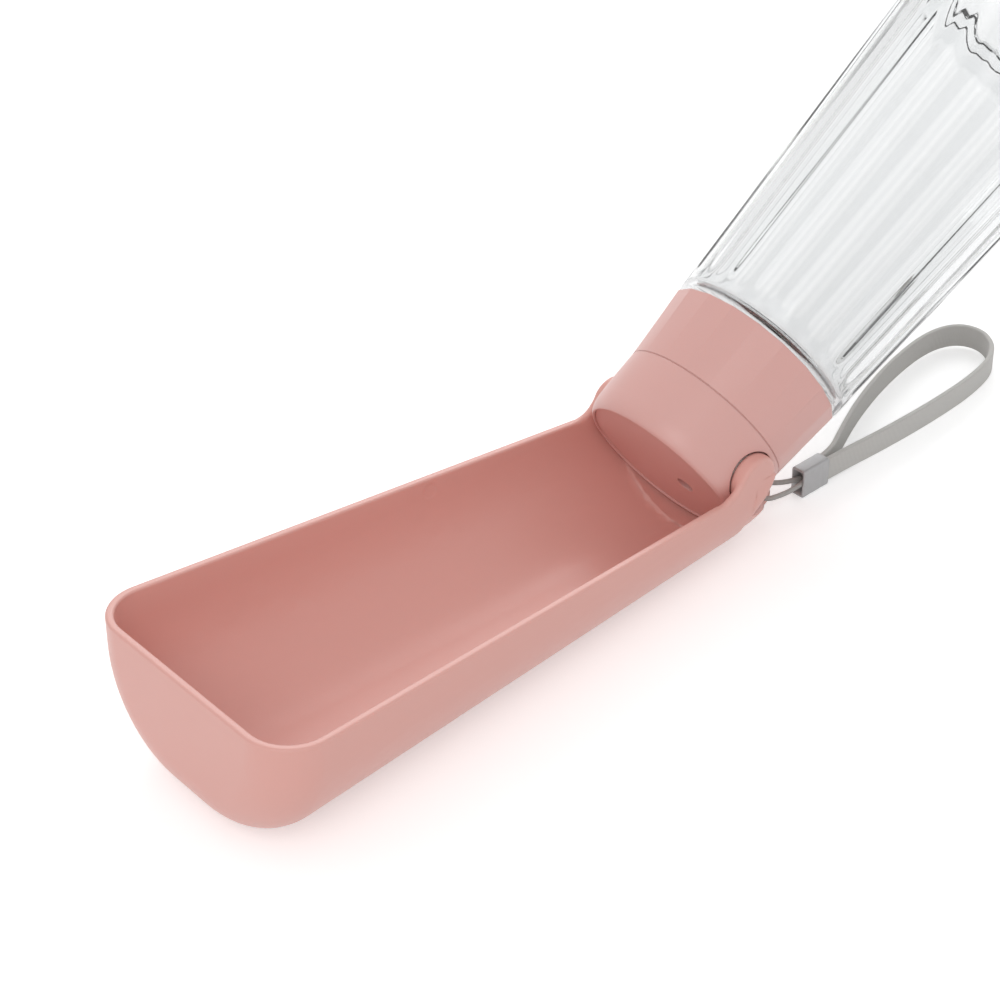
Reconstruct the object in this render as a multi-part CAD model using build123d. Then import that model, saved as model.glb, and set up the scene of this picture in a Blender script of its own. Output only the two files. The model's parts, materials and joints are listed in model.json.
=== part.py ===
from build123d import *
from math import atan2, cos, degrees, radians, sin, sqrt, tan
import os

# Travel water bottle for dogs: a clear fluted bottle, a twist-valve head and a long drinking
# trough that hinges on the head and folds over the bottle when it is put away.
# Millimetres, +Z up.  The origin is the middle of the trough's flat underside.
# The trough points along -X.  The head and bottle lean back along +X, open for drinking.

# ---------------------------------------------------------------- overall pose
HINGE_X = 70.3                 # hinge axis ahead of the middle of the underside
TROUGH_TILT = 4.0              # the rim climbs this much towards the far end, in degrees
POUR_ANGLE = 29.4              # bottle axis above the horizontal when open, in degrees

# ---------------------------------------------------------------- drinking trough
TROUGH_REACH = 166.3           # hinge axis to the outside of the far end
TROUGH_WALL = 2.2
RIM_EDGE_RADIUS = 0.6          # rounding of both edges of the rim
RIM_HALF_WIDTH = 27.9          # outside, level with the hinge
RIM_TAPER = 0.0717             # growth of the half width per millimetre of reach
RIM_DROP = 1.9                 # rim below the hinge axis
SIDE_DRAFT = 3.5               # lean of the side walls, in degrees
HINGE_DEPTH = 29.8             # hinge axis to the underside, square to the rim
FLOOR_RADIUS_HINGE = 26.8      # round between side and floor at the hinge
FLOOR_RADIUS_FAR = 32.2        # the same at the far end
FAR_END_RADIUS = 13.0          # round of the far end in plan and along its foot
FAR_END_LEAN = 0.6             # lean of the far end, in degrees
FOOT_DEPTH = 0.15              # rounded floor cut level by this much, which makes the foot
EAR_RADIUS = 7.3
EAR_THICKNESS = 4.1
EAR_ROOT = 1.2                 # round of the ear starts this far inside the outer wall
EAR_END = 1.0                  # side walls run on past the round of the ear
EAR_SWEEP_RADIUS = 9.0         # hollow curve that carries the rim up into the ear
EAR_BACK_ANGLE = 45.0          # where the round of the ear ends, below the horizontal, in degrees
EAR_FOOT = 12.0                # lower end of the ear's back edge, below the axis
EAR_FOOT_REACH = 1.0           # the same, behind the axis
END_WALL_RADIUS = 28.8         # ball-shaped wall that closes the hinge end, outside
END_WALL_THICKNESS = 1.8
END_WALL_FALL = 20.0           # fall of that wall's lip towards the back, in degrees
HEAD_CLEARANCE = 0.4           # trough to head, all round
RING_CLEARANCE = 0.5           # trough to the top of the twist ring

# ---------------------------------------------------------------- head, along its own axis
FACE_OFFSET = 10.0             # outlet face ahead of the hinge axis
PARTING_OFFSET = 9.0           # joint between collar and twist ring, behind the hinge axis
PARTING_RADIUS = 25.5
RING_HEIGHT = 21.3
RING_TOP_RADIUS = 27.5
PARTING_GAP = 0.35
COLLAR_WAIST_RADIUS = 25.3     # collar where its end round starts
COLLAR_WAIST_OFFSET = 4.6      # that place ahead of the hinge axis
FACE_EDGE_RADIUS = 23.0        # rim of the outlet face
FACE_RIM = 0.5                 # flat edge left round that face
COLLAR_WAIST_LEAN = 0.05       # slope of the end round where it leaves the waist
FACE_RIM_LEAN = 0.4            # slope of the end round where it meets the face
END_ROUND_PULL = (0.9, 0.8)    # how far the end round holds each of those slopes
COLLAR_BORE = 20.6
PLATE_THICKNESS = 2.0
PLATE_RECESS = 0.5
PRESS_FIT = 0.05               # between pieces that are pressed or laid together
POCKET_CLEARANCE = 0.4         # round the ear, in the side of the collar
WASHER_THICKNESS = 0.5
WASHER_INSET = 1.0             # washer's edge inside the ear's
WASHER_GAP = 0.15
PIN_RADIUS = 2.0
PIN_RUNNING_FIT = 0.05
PIN_EAR_DEPTH = 2.4            # pin into the ear
PIN_TIP_GAP = 0.3
OUTLET_X = 4.5
OUTLET_Y = -7.0
OUTLET_RADIUS = 2.6
CORE_WALL = 1.5                # walls left beside the collar's moulded cores
CORE_SPAN = 100.0              # sweep of each core, in degrees

# ---------------------------------------------------------------- valve parts
SEAL_RADIUS = 5.0
SEAL_THICKNESS = 1.1
SEAL_SEAT = 0.4                # depth of the seal's seat in the outlet plate
VALVE_GAP = 0.1
VALVE_THICKNESS = 2.0
VALVE_FIT = 0.35
DISC_SPRING_HEIGHT = 1.2
DISC_SPRING_SHEET = 0.5
DISC_SPRING_BORE = 6.5
DISC_SPRING_RADIUS = 11.5
CAP_TOP = 2.0
CAP_MOUTH_DROP = 2.35          # cap mouth below the top of the twist ring
CAP_WALL = 1.8
CAP_FIT = 0.7                  # inner cap to collar bore
DRIVE_LUG = 3.0                # width of the lugs that turn the valve disc
DRIVE_LUG_RADIUS = 16.0
DRIVE_LUG_HEIGHT = 1.2
DRIVE_LUG_ANGLE = 45.0         # first lug from the head's upper side, in degrees
DRIVE_FIT = 0.15
VENT_RADIUS = 2.0
VENT_STEM_RADIUS = 1.0
VENT_X = -11.5
VENT_CAP_RADIUS = 3.4
VENT_SHEET = 0.6
ORING_WIRE = 0.78              # radius of the cap seal's section
ORING_FIT = 0.03
ORING_OFFSET = 2.5
ORING_SEAT_FIT = 0.1           # ring seal to each side of its groove
SNAP_HEIGHT = 1.2
SNAP_BITE = 0.6                # snap ring into each of its two grooves
SNAP_FIT = 0.15
SNAP_OFFSET = 6.0
SNAP_MOUTH = 40.0              # opening of the snap ring, in degrees
GASKET_THICKNESS = 1.5
TWIST_RING_WALL = 2.2
TWIST_WEB = 2.0
RING_RIB_COUNT = 10
RING_RIB_THICKNESS = 1.4
FACET_COUNT = 20

# ---------------------------------------------------------------- bottle
NECK_RADIUS = 17.8
NECK_WALL = 2.4
NECK_FIT = 0.3
BOTTLE_WALL = 2.6
BOTTLE_STEP = 0.1              # shoulder inside the top of the twist ring
BOTTLE_GAP = 0.6               # ring to shoulder
BOTTLE_TAPER = 0.0657
BOTTLE_LENGTH = 155.0          # hinge axis to the base
BASE_ROUND = 7.0
BASE_HOLLOW = 2.2
BASE_RING = 9.0                # width of the ring that the bottle stands on
SHOULDER_ROUND = 2.0
INNER_SHOULDER_ROUND = 3.0
FLUTE_TOOL_RADIUS = 14.0
FLUTE_DEPTH = 0.55
FLUTE_START = 5.0              # ring to the rounded end of each flute
NECK_SEAL_WIRE = 1.0
THREAD_COUNT = 3
THREAD_START = 4.0             # first bead behind the rim of the neck
THREAD_PITCH = 4.2
THREAD_FLANK = 0.54            # along the neck, each side of a bead's crest
THREAD_CREST = 0.36
THREAD_ROOT = 0.2              # beads start this far inside the neck's surface
THREAD_FIT = 0.08              # thread beads to the bore of the cap

# ---------------------------------------------------------------- wrist strap
EYELET_Y = -10.0
EYELET_THICKNESS = 2.6
EYELET_RADIUS = 3.3
EYELET_HOLE = 1.7
EYELET_STANDOFF = 2.4          # hole's middle outside the end wall
EYELET_ANGLE = -45.0           # round the hinge axis, in degrees
CORD_DIAMETER = 1.5
WEBBING_WIDTH = 7.4
WEBBING_THICKNESS = 1.5
CRIMP_LENGTH = 10.5
CRIMP_WALL = 0.7
CRIMP_X = 34.8                 # front of the crimp behind the hinge axis
CRIMP_Y = -11.7
CRIMP_CORD_BITE = 2.5          # cord ends into the crimp
CRIMP_EDGE_RADIUS = 0.9
CRIMP_FIT = 0.1
WEBBING_GAP = 0.3              # between the webbing's two ends in the crimp
CORD_LEAD = 3.4                # cord runs straight this far out of the crimp
CORD_RISE = 1.0                # height of its bow towards the eyelet
ARC_SHARE = 0.45               # share of a run that the arc at each of its ends may take

# Webbing route in plan, measured from the hinge axis: out along the near side, round the
# far end and back.
WEBBING_ROUTE = [
    (37.8, -12.6),
    (50.0, -12.6),
    (68.0, -13.8),
    (90.0, -14.1),
    (111.0, -12.9),
    (125.5, -9.0),
    (132.4, 0.2),
    (129.8, 9.0),
    (118.5, 12.2),
    (97.5, 8.8),
    (77.0, 2.4),
    (60.0, -5.2),
    (49.0, -10.8),
    (37.8, -10.8),
]


# ---------------------------------------------------------------- cutting tools
TRAVEL = 400.0                 # longer than anything that is cut
OVERRUN = 40.0                 # how far an outline runs on past what it bounds
CUT = 1.0                      # how far a tool stands proud of what it cuts


# ---------------------------------------------------------------- small helpers
def trough_place(part):
    """Put a trough-frame solid (hinge axis at the origin, rim level) in place."""
    return Pos(HINGE_X, 0, HINGE_Z) * Rot(0, TROUGH_TILT, 0) * part


def head_place(part):
    """Put a head-frame solid (axis along Z, hinge axis at the origin) in place."""
    return Pos(HINGE_X, 0, HINGE_Z) * Rot(0, 90 - POUR_ANGLE, 0) * part


def floor_place(part):
    """Put a solid that is measured from the foot of the hinge axis in place."""
    return Pos(HINGE_X, 0, 0) * part


def turned(points):
    """Revolve a closed outline of (radius, height) points about the Z axis."""
    outline = Polyline([(r, 0, z) for r, z in points], close=True)
    return revolve(make_face(outline), Axis.Z)


def disc(radius, low, high, x=0.0, y=0.0):
    """Plain disc or plug between two heights."""
    return Pos(x, y, low) * Cylinder(radius, high - low, align=(Align.CENTER, Align.CENTER, Align.MIN))


def seal_ring(radius, wire, height):
    """Ring seal of eight-sided section about the Z axis."""
    section = Plane(origin=(radius, 0, height), x_dir=(1, 0, 0), z_dir=(0, -1, 0)) * RegularPolygon(wire, 8)
    return revolve(section, Axis.Z)


def tube(outer, inner, low, high):
    """Plain ring between two heights."""
    return disc(outer, low, high) - disc(inner, low - CUT, high + CUT)


def side_cylinder(radius, inner_y, outer_y, side):
    """Cylinder along Y on the hinge axis, between two distances from the middle."""
    length = outer_y - inner_y
    middle = side * (inner_y + outer_y) / 2
    return Pos(0, middle, 0) * Rot(90, 0, 0) * Cylinder(radius, length)


# ---------------------------------------------------------------- derived sizes
FLOOR_SLOPE = tan(radians(TROUGH_TILT))
HINGE_Z = HINGE_DEPTH * cos(radians(TROUGH_TILT))
RING_TOP = PARTING_OFFSET + RING_HEIGHT
BOTTLE_START_RADIUS = RING_TOP_RADIUS - BOTTLE_STEP
RING_TAPER = (RING_TOP_RADIUS - PARTING_RADIUS) / RING_HEIGHT
EAR_INNER_Y = RIM_HALF_WIDTH - EAR_THICKNESS
POCKET_FLOOR_Y = EAR_INNER_Y - WASHER_THICKNESS - 2 * WASHER_GAP
POCKET_RADIUS = EAR_RADIUS + POCKET_CLEARANCE
PLATE_FRONT = -FACE_OFFSET + PLATE_RECESS
PLATE_BACK = PLATE_FRONT + PLATE_THICKNESS
SEAL_FRONT = PLATE_BACK - SEAL_SEAT
SEAL_BACK = SEAL_FRONT + SEAL_THICKNESS
VALVE_FRONT = SEAL_BACK + VALVE_GAP
VALVE_BACK = VALVE_FRONT + VALVE_THICKNESS
CAP_FRONT = VALVE_BACK + DISC_SPRING_HEIGHT
CAP_BACK = CAP_FRONT + CAP_TOP
CAP_RADIUS = COLLAR_BORE - CAP_FIT
CAP_BORE = CAP_RADIUS - CAP_WALL
NECK_FRONT = CAP_BACK + GASKET_THICKNESS
CAP_END = RING_TOP - CAP_MOUTH_DROP
BOTTLE_START = RING_TOP + BOTTLE_GAP


# ---------------------------------------------------------------- drinking trough
def trough_section(reach, inset, top):
    """Rounded trough outline across X at a distance from the hinge, inset by a wall."""
    half = RIM_HALF_WIDTH + RIM_TAPER * reach - inset
    depth = HINGE_DEPTH + FOOT_DEPTH + FLOOR_SLOPE * reach - inset
    share = reach / TROUGH_REACH
    radius = FLOOR_RADIUS_HINGE + (FLOOR_RADIUS_FAR - FLOOR_RADIUS_HINGE) * share - inset
    lean = tan(radians(SIDE_DRAFT))
    upper = half + lean * (top + RIM_DROP)
    lower = half - lean * (depth - RIM_DROP)
    corners = [(upper, top), (lower, -depth), (-lower, -depth), (-upper, top)]
    plane = Plane(origin=(-reach, 0, 0), x_dir=(0, 1, 0), z_dir=(1, 0, 0))
    outline = Polyline(corners, close=True)
    face = make_face(outline)
    foot = face.vertices().sort_by(Axis.Y)[:2]
    return plane * fillet(foot, radius)


def far_end_block(inset, top):
    """Solid that bounds the far end: leaning end wall with rounded corners and foot."""
    reach = TROUGH_REACH - inset
    body = loft([trough_section(x, inset, top) for x in (0, TROUGH_REACH + OVERRUN)], ruled=True)
    cutter = Pos(-reach, 0, -RIM_DROP) * Rot(0, FAR_END_LEAN, 0) * Box(
        OVERRUN * 2, TRAVEL, TRAVEL, align=(Align.MAX, Align.CENTER, Align.CENTER))
    body = body - cutter
    end = body.faces().sort_by(Axis.X)[0]
    edges = end.edges().filter_by(lambda e: e.center().Z < top - CUT)
    return fillet(edges, FAR_END_RADIUS - inset)


def rim_shell():
    """Far part of the trough: open shell with both edges of its rim rounded."""
    shell = far_end_block(0, -RIM_DROP) - far_end_block(TROUGH_WALL, CUT - RIM_DROP)
    rim = shell.faces().sort_by(Axis.Z)[-1]
    return fillet(rim.edges().filter_by(lambda e: e.center().X < -CUT), RIM_EDGE_RADIUS)


def sweep_reach():
    """Hinge axis to where the level rim starts to rise into the ear."""
    drop = EAR_SWEEP_RADIUS - RIM_DROP
    return sqrt((EAR_SWEEP_RADIUS + EAR_RADIUS) ** 2 - drop ** 2)


def hinge_end(radius, half_width):
    """Quarter of a ball about the hinge's middle: the wall under the head."""
    quarter = Box(radius, half_width * 2, radius, align=(Align.MIN, Align.CENTER, Align.MAX))
    return Sphere(radius) & quarter


def ear_profile():
    """Side view that the trough is trimmed to: rim, rise, ear, back edge and end-wall lip."""
    rim = -RIM_DROP
    drop = EAR_SWEEP_RADIUS - RIM_DROP
    gap = sweep_reach()
    share = EAR_RADIUS / (EAR_SWEEP_RADIUS + EAR_RADIUS)
    touch = (-gap * share, drop * share)
    sweep_mid_angle = (-90 + degrees(atan2(touch[1] - drop, touch[0] + gap))) / 2
    sweep_mid = (
        -gap + EAR_SWEEP_RADIUS * cos(radians(sweep_mid_angle)),
        drop + EAR_SWEEP_RADIUS * sin(radians(sweep_mid_angle)),
    )
    back = radians(EAR_BACK_ANGLE)
    back_start = (EAR_RADIUS * cos(back), -EAR_RADIUS * sin(back))
    lip_start = (EAR_FOOT_REACH, -EAR_FOOT)
    lip_end = (EAR_FOOT_REACH + OVERRUN, -EAR_FOOT - OVERRUN * tan(radians(END_WALL_FALL)))
    far = -TROUGH_REACH - 2 * OVERRUN
    deep = -2 * OVERRUN
    with BuildSketch(Plane.XZ) as side:
        with BuildLine():
            Line((far, rim), (-gap, rim))
            ThreePointArc((-gap, rim), sweep_mid, touch)
            ThreePointArc(touch, (0, EAR_RADIUS), back_start)
            Polyline(back_start, lip_start, lip_end, (lip_end[0], deep), (far, deep), (far, rim))
        make_face()
    return side.sketch


def head_clearance():
    """Space round collar and twist ring that the hinge-end wall keeps clear of."""
    gap = HEAD_CLEARANCE
    points = [
        (0, -FACE_OFFSET - gap),
        (FACE_EDGE_RADIUS + gap, -FACE_OFFSET - gap),
        (COLLAR_WAIST_RADIUS + gap, -COLLAR_WAIST_OFFSET),
        (PARTING_RADIUS + gap, PARTING_OFFSET - gap),
        (RING_TOP_RADIUS + RING_CLEARANCE, RING_TOP + CUT),
        (0, RING_TOP + CUT),
    ]
    return Rot(0, 90 - POUR_ANGLE - TROUGH_TILT, 0) * turned(points)


def eyelet_centre():
    """Middle of the strap hole, in the trough's frame, outside the hinge-end wall."""
    radius = END_WALL_RADIUS + EYELET_STANDOFF
    angle = radians(EYELET_ANGLE)
    return Vector(radius * cos(angle), EYELET_Y, radius * sin(angle))


def make_trough():
    """Long drinking trough with rounded rim, two ears, ball-shaped end wall and strap eyelet."""
    top = EAR_RADIUS + CUT
    ear_end = -EAR_RADIUS - EAR_END
    above_foot = Pos(0, 0, -EAR_FOOT) * Box(
        TRAVEL, TRAVEL, TRAVEL, align=(Align.CENTER, Align.CENTER, Align.MIN))
    hinge_side = Pos(-sweep_reach(), 0, 0) * Box(
        TRAVEL, TRAVEL, TRAVEL, align=(Align.MIN, Align.CENTER, Align.CENTER))
    ground = Rot(0, -TROUGH_TILT, 0) * Pos(0, 0, -HINGE_Z) * Box(
        TRAVEL * 2, TRAVEL, TRAVEL, align=(Align.CENTER, Align.CENTER, Align.MAX))
    ear_wall = loft([trough_section(x, 0, top) for x in (0, ear_end)], ruled=True)
    outside = far_end_block(0, top) + hinge_end(END_WALL_RADIUS, RIM_HALF_WIDTH) + (ear_wall & above_foot)
    inner_half = RIM_HALF_WIDTH - TROUGH_WALL
    inside_ball = hinge_end(END_WALL_RADIUS - END_WALL_THICKNESS, inner_half)
    inside = far_end_block(TROUGH_WALL, top + CUT) + inside_ball
    inside_sections = [trough_section(x, TROUGH_WALL, top + CUT) for x in (0, ear_end - CUT)]
    inside_ear = loft(inside_sections, ruled=True) & above_foot
    profile = extrude(ear_profile(), RIM_HALF_WIDTH * 2, both=True)
    eye = eyelet_centre()
    lug = Pos(eye.X, eye.Y, eye.Z) * Rot(90, 0, 0) * Cylinder(EYELET_RADIUS, EYELET_THICKNESS)
    root = Pos(eye.X, eye.Y, eye.Z) * Rot(0, -EYELET_ANGLE, 0) * Box(
        EYELET_RADIUS * 2, EYELET_THICKNESS, EYELET_RADIUS * 2, align=(Align.MAX, Align.CENTER, Align.CENTER))
    body = (outside & profile) + lug + root - inside - inside_ear - head_clearance()
    body = (body & hinge_side) + (rim_shell() - hinge_side) - ground
    for side in (-1, 1):
        boss = side_cylinder(EAR_RADIUS, EAR_INNER_Y, RIM_HALF_WIDTH - EAR_ROOT, side)
        socket = side_cylinder(
            PIN_RADIUS + PIN_RUNNING_FIT, EAR_INNER_Y - CUT, EAR_INNER_Y + PIN_EAR_DEPTH + PIN_TIP_GAP, side)
        body = body + boss - socket
    hole = Pos(eye.X, eye.Y, eye.Z) * Rot(90, 0, 0) * Cylinder(EYELET_HOLE, EYELET_THICKNESS + 2 * CUT)
    return body - hole


# ---------------------------------------------------------------- collar and outlet
def make_collar():
    """Pink collar: domed shell with ear pockets, pin bores, plate seat and moulded cores."""
    front = -FACE_OFFSET
    with BuildSketch(Plane.XZ) as profile:
        with BuildLine():
            outer = [
                (PARTING_RADIUS, PARTING_OFFSET),
                (COLLAR_WAIST_RADIUS, -COLLAR_WAIST_OFFSET),
            ]
            Line((COLLAR_BORE, PARTING_OFFSET), outer[0])
            TangentArc(outer[0], outer[1], tangent=(0, -1))
            shoulder = (FACE_EDGE_RADIUS + FACE_RIM, front)
            slopes = [(-COLLAR_WAIST_LEAN, -1), (-1, -FACE_RIM_LEAN)]
            Spline(outer[1], shoulder, tangents=slopes, tangent_scalars=END_ROUND_PULL)
            Polyline(
                shoulder,
                (FACE_EDGE_RADIUS, front),
                (FACE_EDGE_RADIUS, PLATE_BACK),
                (COLLAR_BORE, PLATE_BACK),
                (COLLAR_BORE, PARTING_OFFSET),
            )
        make_face()
    shell = revolve(profile.sketch, Axis.Z)
    core_inner = COLLAR_BORE + CORE_WALL
    core_outer = COLLAR_WAIST_RADIUS - CORE_WALL
    core_face = make_face(Polyline(
        (core_inner, 0, PLATE_BACK + CORE_WALL),
        (core_outer, 0, PLATE_BACK + CORE_WALL),
        (core_outer, 0, PARTING_OFFSET + CUT),
        (core_inner, 0, PARTING_OFFSET + CUT),
        close=True))
    core = revolve(core_face, Axis.Z, CORE_SPAN)
    for start in (-CORE_SPAN / 2, 180 - CORE_SPAN / 2):
        shell = shell - Rot(0, 0, start) * core
    groove_radius = COLLAR_BORE + SNAP_BITE
    shell = shell - tube(groove_radius, COLLAR_BORE - CUT, SNAP_OFFSET, SNAP_OFFSET + SNAP_HEIGHT)
    for side in (-1, 1):
        shell = shell - side_cylinder(POCKET_RADIUS, POCKET_FLOOR_Y, OVERRUN, side)
        shell = shell - side_cylinder(PIN_RADIUS, COLLAR_BORE - CUT, OVERRUN, side)
    return shell


def make_outlet_plate():
    """Pressed-in end plate with the pouring hole and the seat of its seal."""
    plate = disc(FACE_EDGE_RADIUS - PRESS_FIT, PLATE_FRONT, PLATE_BACK)
    plate = plate - disc(OUTLET_RADIUS, PLATE_FRONT - CUT, PLATE_BACK + CUT, OUTLET_X, OUTLET_Y)
    return plate - disc(SEAL_RADIUS + PRESS_FIT, SEAL_FRONT, PLATE_BACK + CUT, OUTLET_X, OUTLET_Y)


def make_outlet_seal():
    """Soft washer round the pouring hole, which the valve disc wipes."""
    seal = disc(SEAL_RADIUS, SEAL_FRONT, SEAL_BACK, OUTLET_X, OUTLET_Y)
    return seal - disc(OUTLET_RADIUS, SEAL_FRONT - CUT, SEAL_BACK + CUT, OUTLET_X, OUTLET_Y)


def make_hinge_pins():
    """Two steel pins pressed in the collar, running in the ears."""
    pins = []
    for side in (-1, 1):
        pins.append(side_cylinder(PIN_RADIUS, COLLAR_BORE + PRESS_FIT, EAR_INNER_Y + PIN_EAR_DEPTH, side))
    return Compound(children=pins)


def make_hinge_washers():
    """Two friction washers between the ears and the collar's pockets."""
    washers = []
    inner_y = POCKET_FLOOR_Y + WASHER_GAP
    for side in (-1, 1):
        outer_y = inner_y + WASHER_THICKNESS
        washer = side_cylinder(EAR_RADIUS - WASHER_INSET, inner_y, outer_y, side)
        bore = side_cylinder(PIN_RADIUS + PIN_RUNNING_FIT, inner_y - CUT, outer_y + CUT, side)
        washers.append(washer - bore)
    return Compound(children=washers)


# ---------------------------------------------------------------- valve and cap
def drive_lugs(fit):
    """Two blocks on the valve disc, or with a fit the slots that take them."""
    lugs = []
    width = DRIVE_LUG + 2 * fit
    height = DISC_SPRING_HEIGHT + DRIVE_LUG_HEIGHT
    for angle in (DRIVE_LUG_ANGLE, DRIVE_LUG_ANGLE + 180):
        block = Box(width, width, height, align=(Align.CENTER, Align.CENTER, Align.MIN))
        lugs.append(Rot(0, 0, angle) * Pos(DRIVE_LUG_RADIUS, 0, VALVE_BACK) * block)
    return lugs


def make_valve_disc():
    """Rotary disc: its port meets the pouring hole when the ring is turned open."""
    valve = disc(COLLAR_BORE - VALVE_FIT, VALVE_FRONT, VALVE_BACK)
    valve = valve - disc(OUTLET_RADIUS, VALVE_FRONT - CUT, VALVE_BACK + CUT, OUTLET_X, OUTLET_Y)
    valve = valve - disc(VENT_RADIUS, VALVE_FRONT - CUT, VALVE_BACK + CUT, VENT_X, 0)
    for lug in drive_lugs(0):
        valve = valve + lug
    return valve


def make_disc_spring():
    """Coned spring washer that presses the valve disc on its seal."""
    rise = DISC_SPRING_HEIGHT - DISC_SPRING_SHEET
    return turned([
        (DISC_SPRING_BORE, VALVE_BACK + rise),
        (DISC_SPRING_RADIUS, VALVE_BACK),
        (DISC_SPRING_RADIUS, VALVE_BACK + DISC_SPRING_SHEET),
        (DISC_SPRING_BORE, VALVE_BACK + DISC_SPRING_HEIGHT),
    ])


def make_inner_cap():
    """Threaded cap: closes the neck, carries the valve and turns with the twist ring."""
    cap = disc(CAP_RADIUS, CAP_FRONT, CAP_END) - disc(CAP_BORE, CAP_BACK, CAP_END + CUT)
    cap = cap - disc(OUTLET_RADIUS, CAP_FRONT - CUT, CAP_BACK + CUT, OUTLET_X, OUTLET_Y)
    cap = cap - disc(VENT_STEM_RADIUS, CAP_FRONT - CUT, CAP_BACK + CUT, VENT_X, 0)
    for slot in drive_lugs(DRIVE_FIT):
        cap = cap - slot
    oring_seat = CAP_RADIUS + CAP_FIT - ORING_FIT - 2 * ORING_WIRE
    oring_room = ORING_WIRE + ORING_SEAT_FIT
    cap = cap - tube(CAP_RADIUS + CUT, oring_seat, ORING_OFFSET - oring_room, ORING_OFFSET + oring_room)
    snap_seat = CAP_RADIUS - SNAP_BITE
    snap_low = SNAP_OFFSET - SNAP_FIT
    return cap - tube(CAP_RADIUS + CUT, snap_seat, snap_low, snap_low + SNAP_HEIGHT + 2 * SNAP_FIT)


def make_vent_valve():
    """Umbrella valve that lets air into the bottle while it pours."""
    stem = disc(VENT_STEM_RADIUS, CAP_FRONT, CAP_BACK, VENT_X, 0)
    return stem + disc(VENT_CAP_RADIUS, CAP_BACK, CAP_BACK + VENT_SHEET, VENT_X, 0)


def make_cap_oring():
    """Ring seal between the turning cap and the collar."""
    ring_radius = COLLAR_BORE - ORING_FIT - ORING_WIRE
    return seal_ring(ring_radius, ORING_WIRE, ORING_OFFSET)


def make_snap_ring():
    """Split ring that holds the cap in the collar and lets it turn."""
    outer = COLLAR_BORE + SNAP_BITE - PRESS_FIT
    inner = CAP_RADIUS - SNAP_BITE + SNAP_FIT
    ring = tube(outer, inner, SNAP_OFFSET + PRESS_FIT, SNAP_OFFSET + SNAP_HEIGHT - PRESS_FIT)
    mouth = 2 * outer * sin(radians(SNAP_MOUTH / 2))
    return ring - Pos(outer, 0, SNAP_OFFSET) * Box(outer, mouth, SNAP_HEIGHT * 3)


def make_neck_gasket():
    """Flat gasket in the cap, which the rim of the neck is screwed against."""
    return tube(CAP_BORE - PRESS_FIT, NECK_RADIUS - NECK_WALL, CAP_BACK, NECK_FRONT)


def facet_point(radius, place, height):
    """Point on the twist ring at a number of facets round from its first corner."""
    angle = radians((place + 0.5) * 360 / FACET_COUNT)
    return (radius * cos(angle), radius * sin(angle), height)


def facet_body(low, base_radius):
    """Solid between a round foot and a many-sided top: flat facets that turn round downwards."""
    foot = []
    crown = []
    for i in range(FACET_COUNT):
        foot.append(ThreePointArc(*[facet_point(base_radius, i + step, low) for step in (0, 0.5, 1)]).edge())
        crown.append(Line(*[facet_point(RING_TOP_RADIUS, i + step, RING_TOP) for step in (0, 1)]).edge())
    return Solid.make_loft([Wire(foot), Wire(crown)], ruled=True)


def make_twist_ring():
    """Twist ring: twenty facets that fade out at the parting line, web and drive ribs inside."""
    low = PARTING_OFFSET + PARTING_GAP
    base_radius = PARTING_RADIUS + RING_TAPER * PARTING_GAP
    inner_low = base_radius - TWIST_RING_WALL
    inner_top = RING_TOP_RADIUS - TWIST_RING_WALL
    hollow = turned([
        (0, low + TWIST_WEB),
        (inner_low, low + TWIST_WEB),
        (inner_top, RING_TOP),
        (inner_top, RING_TOP + CUT),
        (0, RING_TOP + CUT),
    ])
    hub = CAP_RADIUS + PRESS_FIT
    body = facet_body(low, base_radius) - hollow - disc(hub, low - CUT, RING_TOP)
    rib_reach = inner_low - CAP_RADIUS
    for i in range(RING_RIB_COUNT):
        rib = Pos(hub, 0, low + TWIST_WEB) * Box(
            rib_reach, RING_RIB_THICKNESS, CAP_END - low - TWIST_WEB,
            align=(Align.MIN, Align.CENTER, Align.MIN))
        body = body + Rot(0, 0, (i + 0.5) * 360 / RING_RIB_COUNT) * rib
    return body


# ---------------------------------------------------------------- bottle
def bottle_radius(height):
    """Outside radius of the bottle's plain cone at a distance from the hinge axis."""
    return BOTTLE_START_RADIUS + BOTTLE_TAPER * (height - BOTTLE_START)


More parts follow.
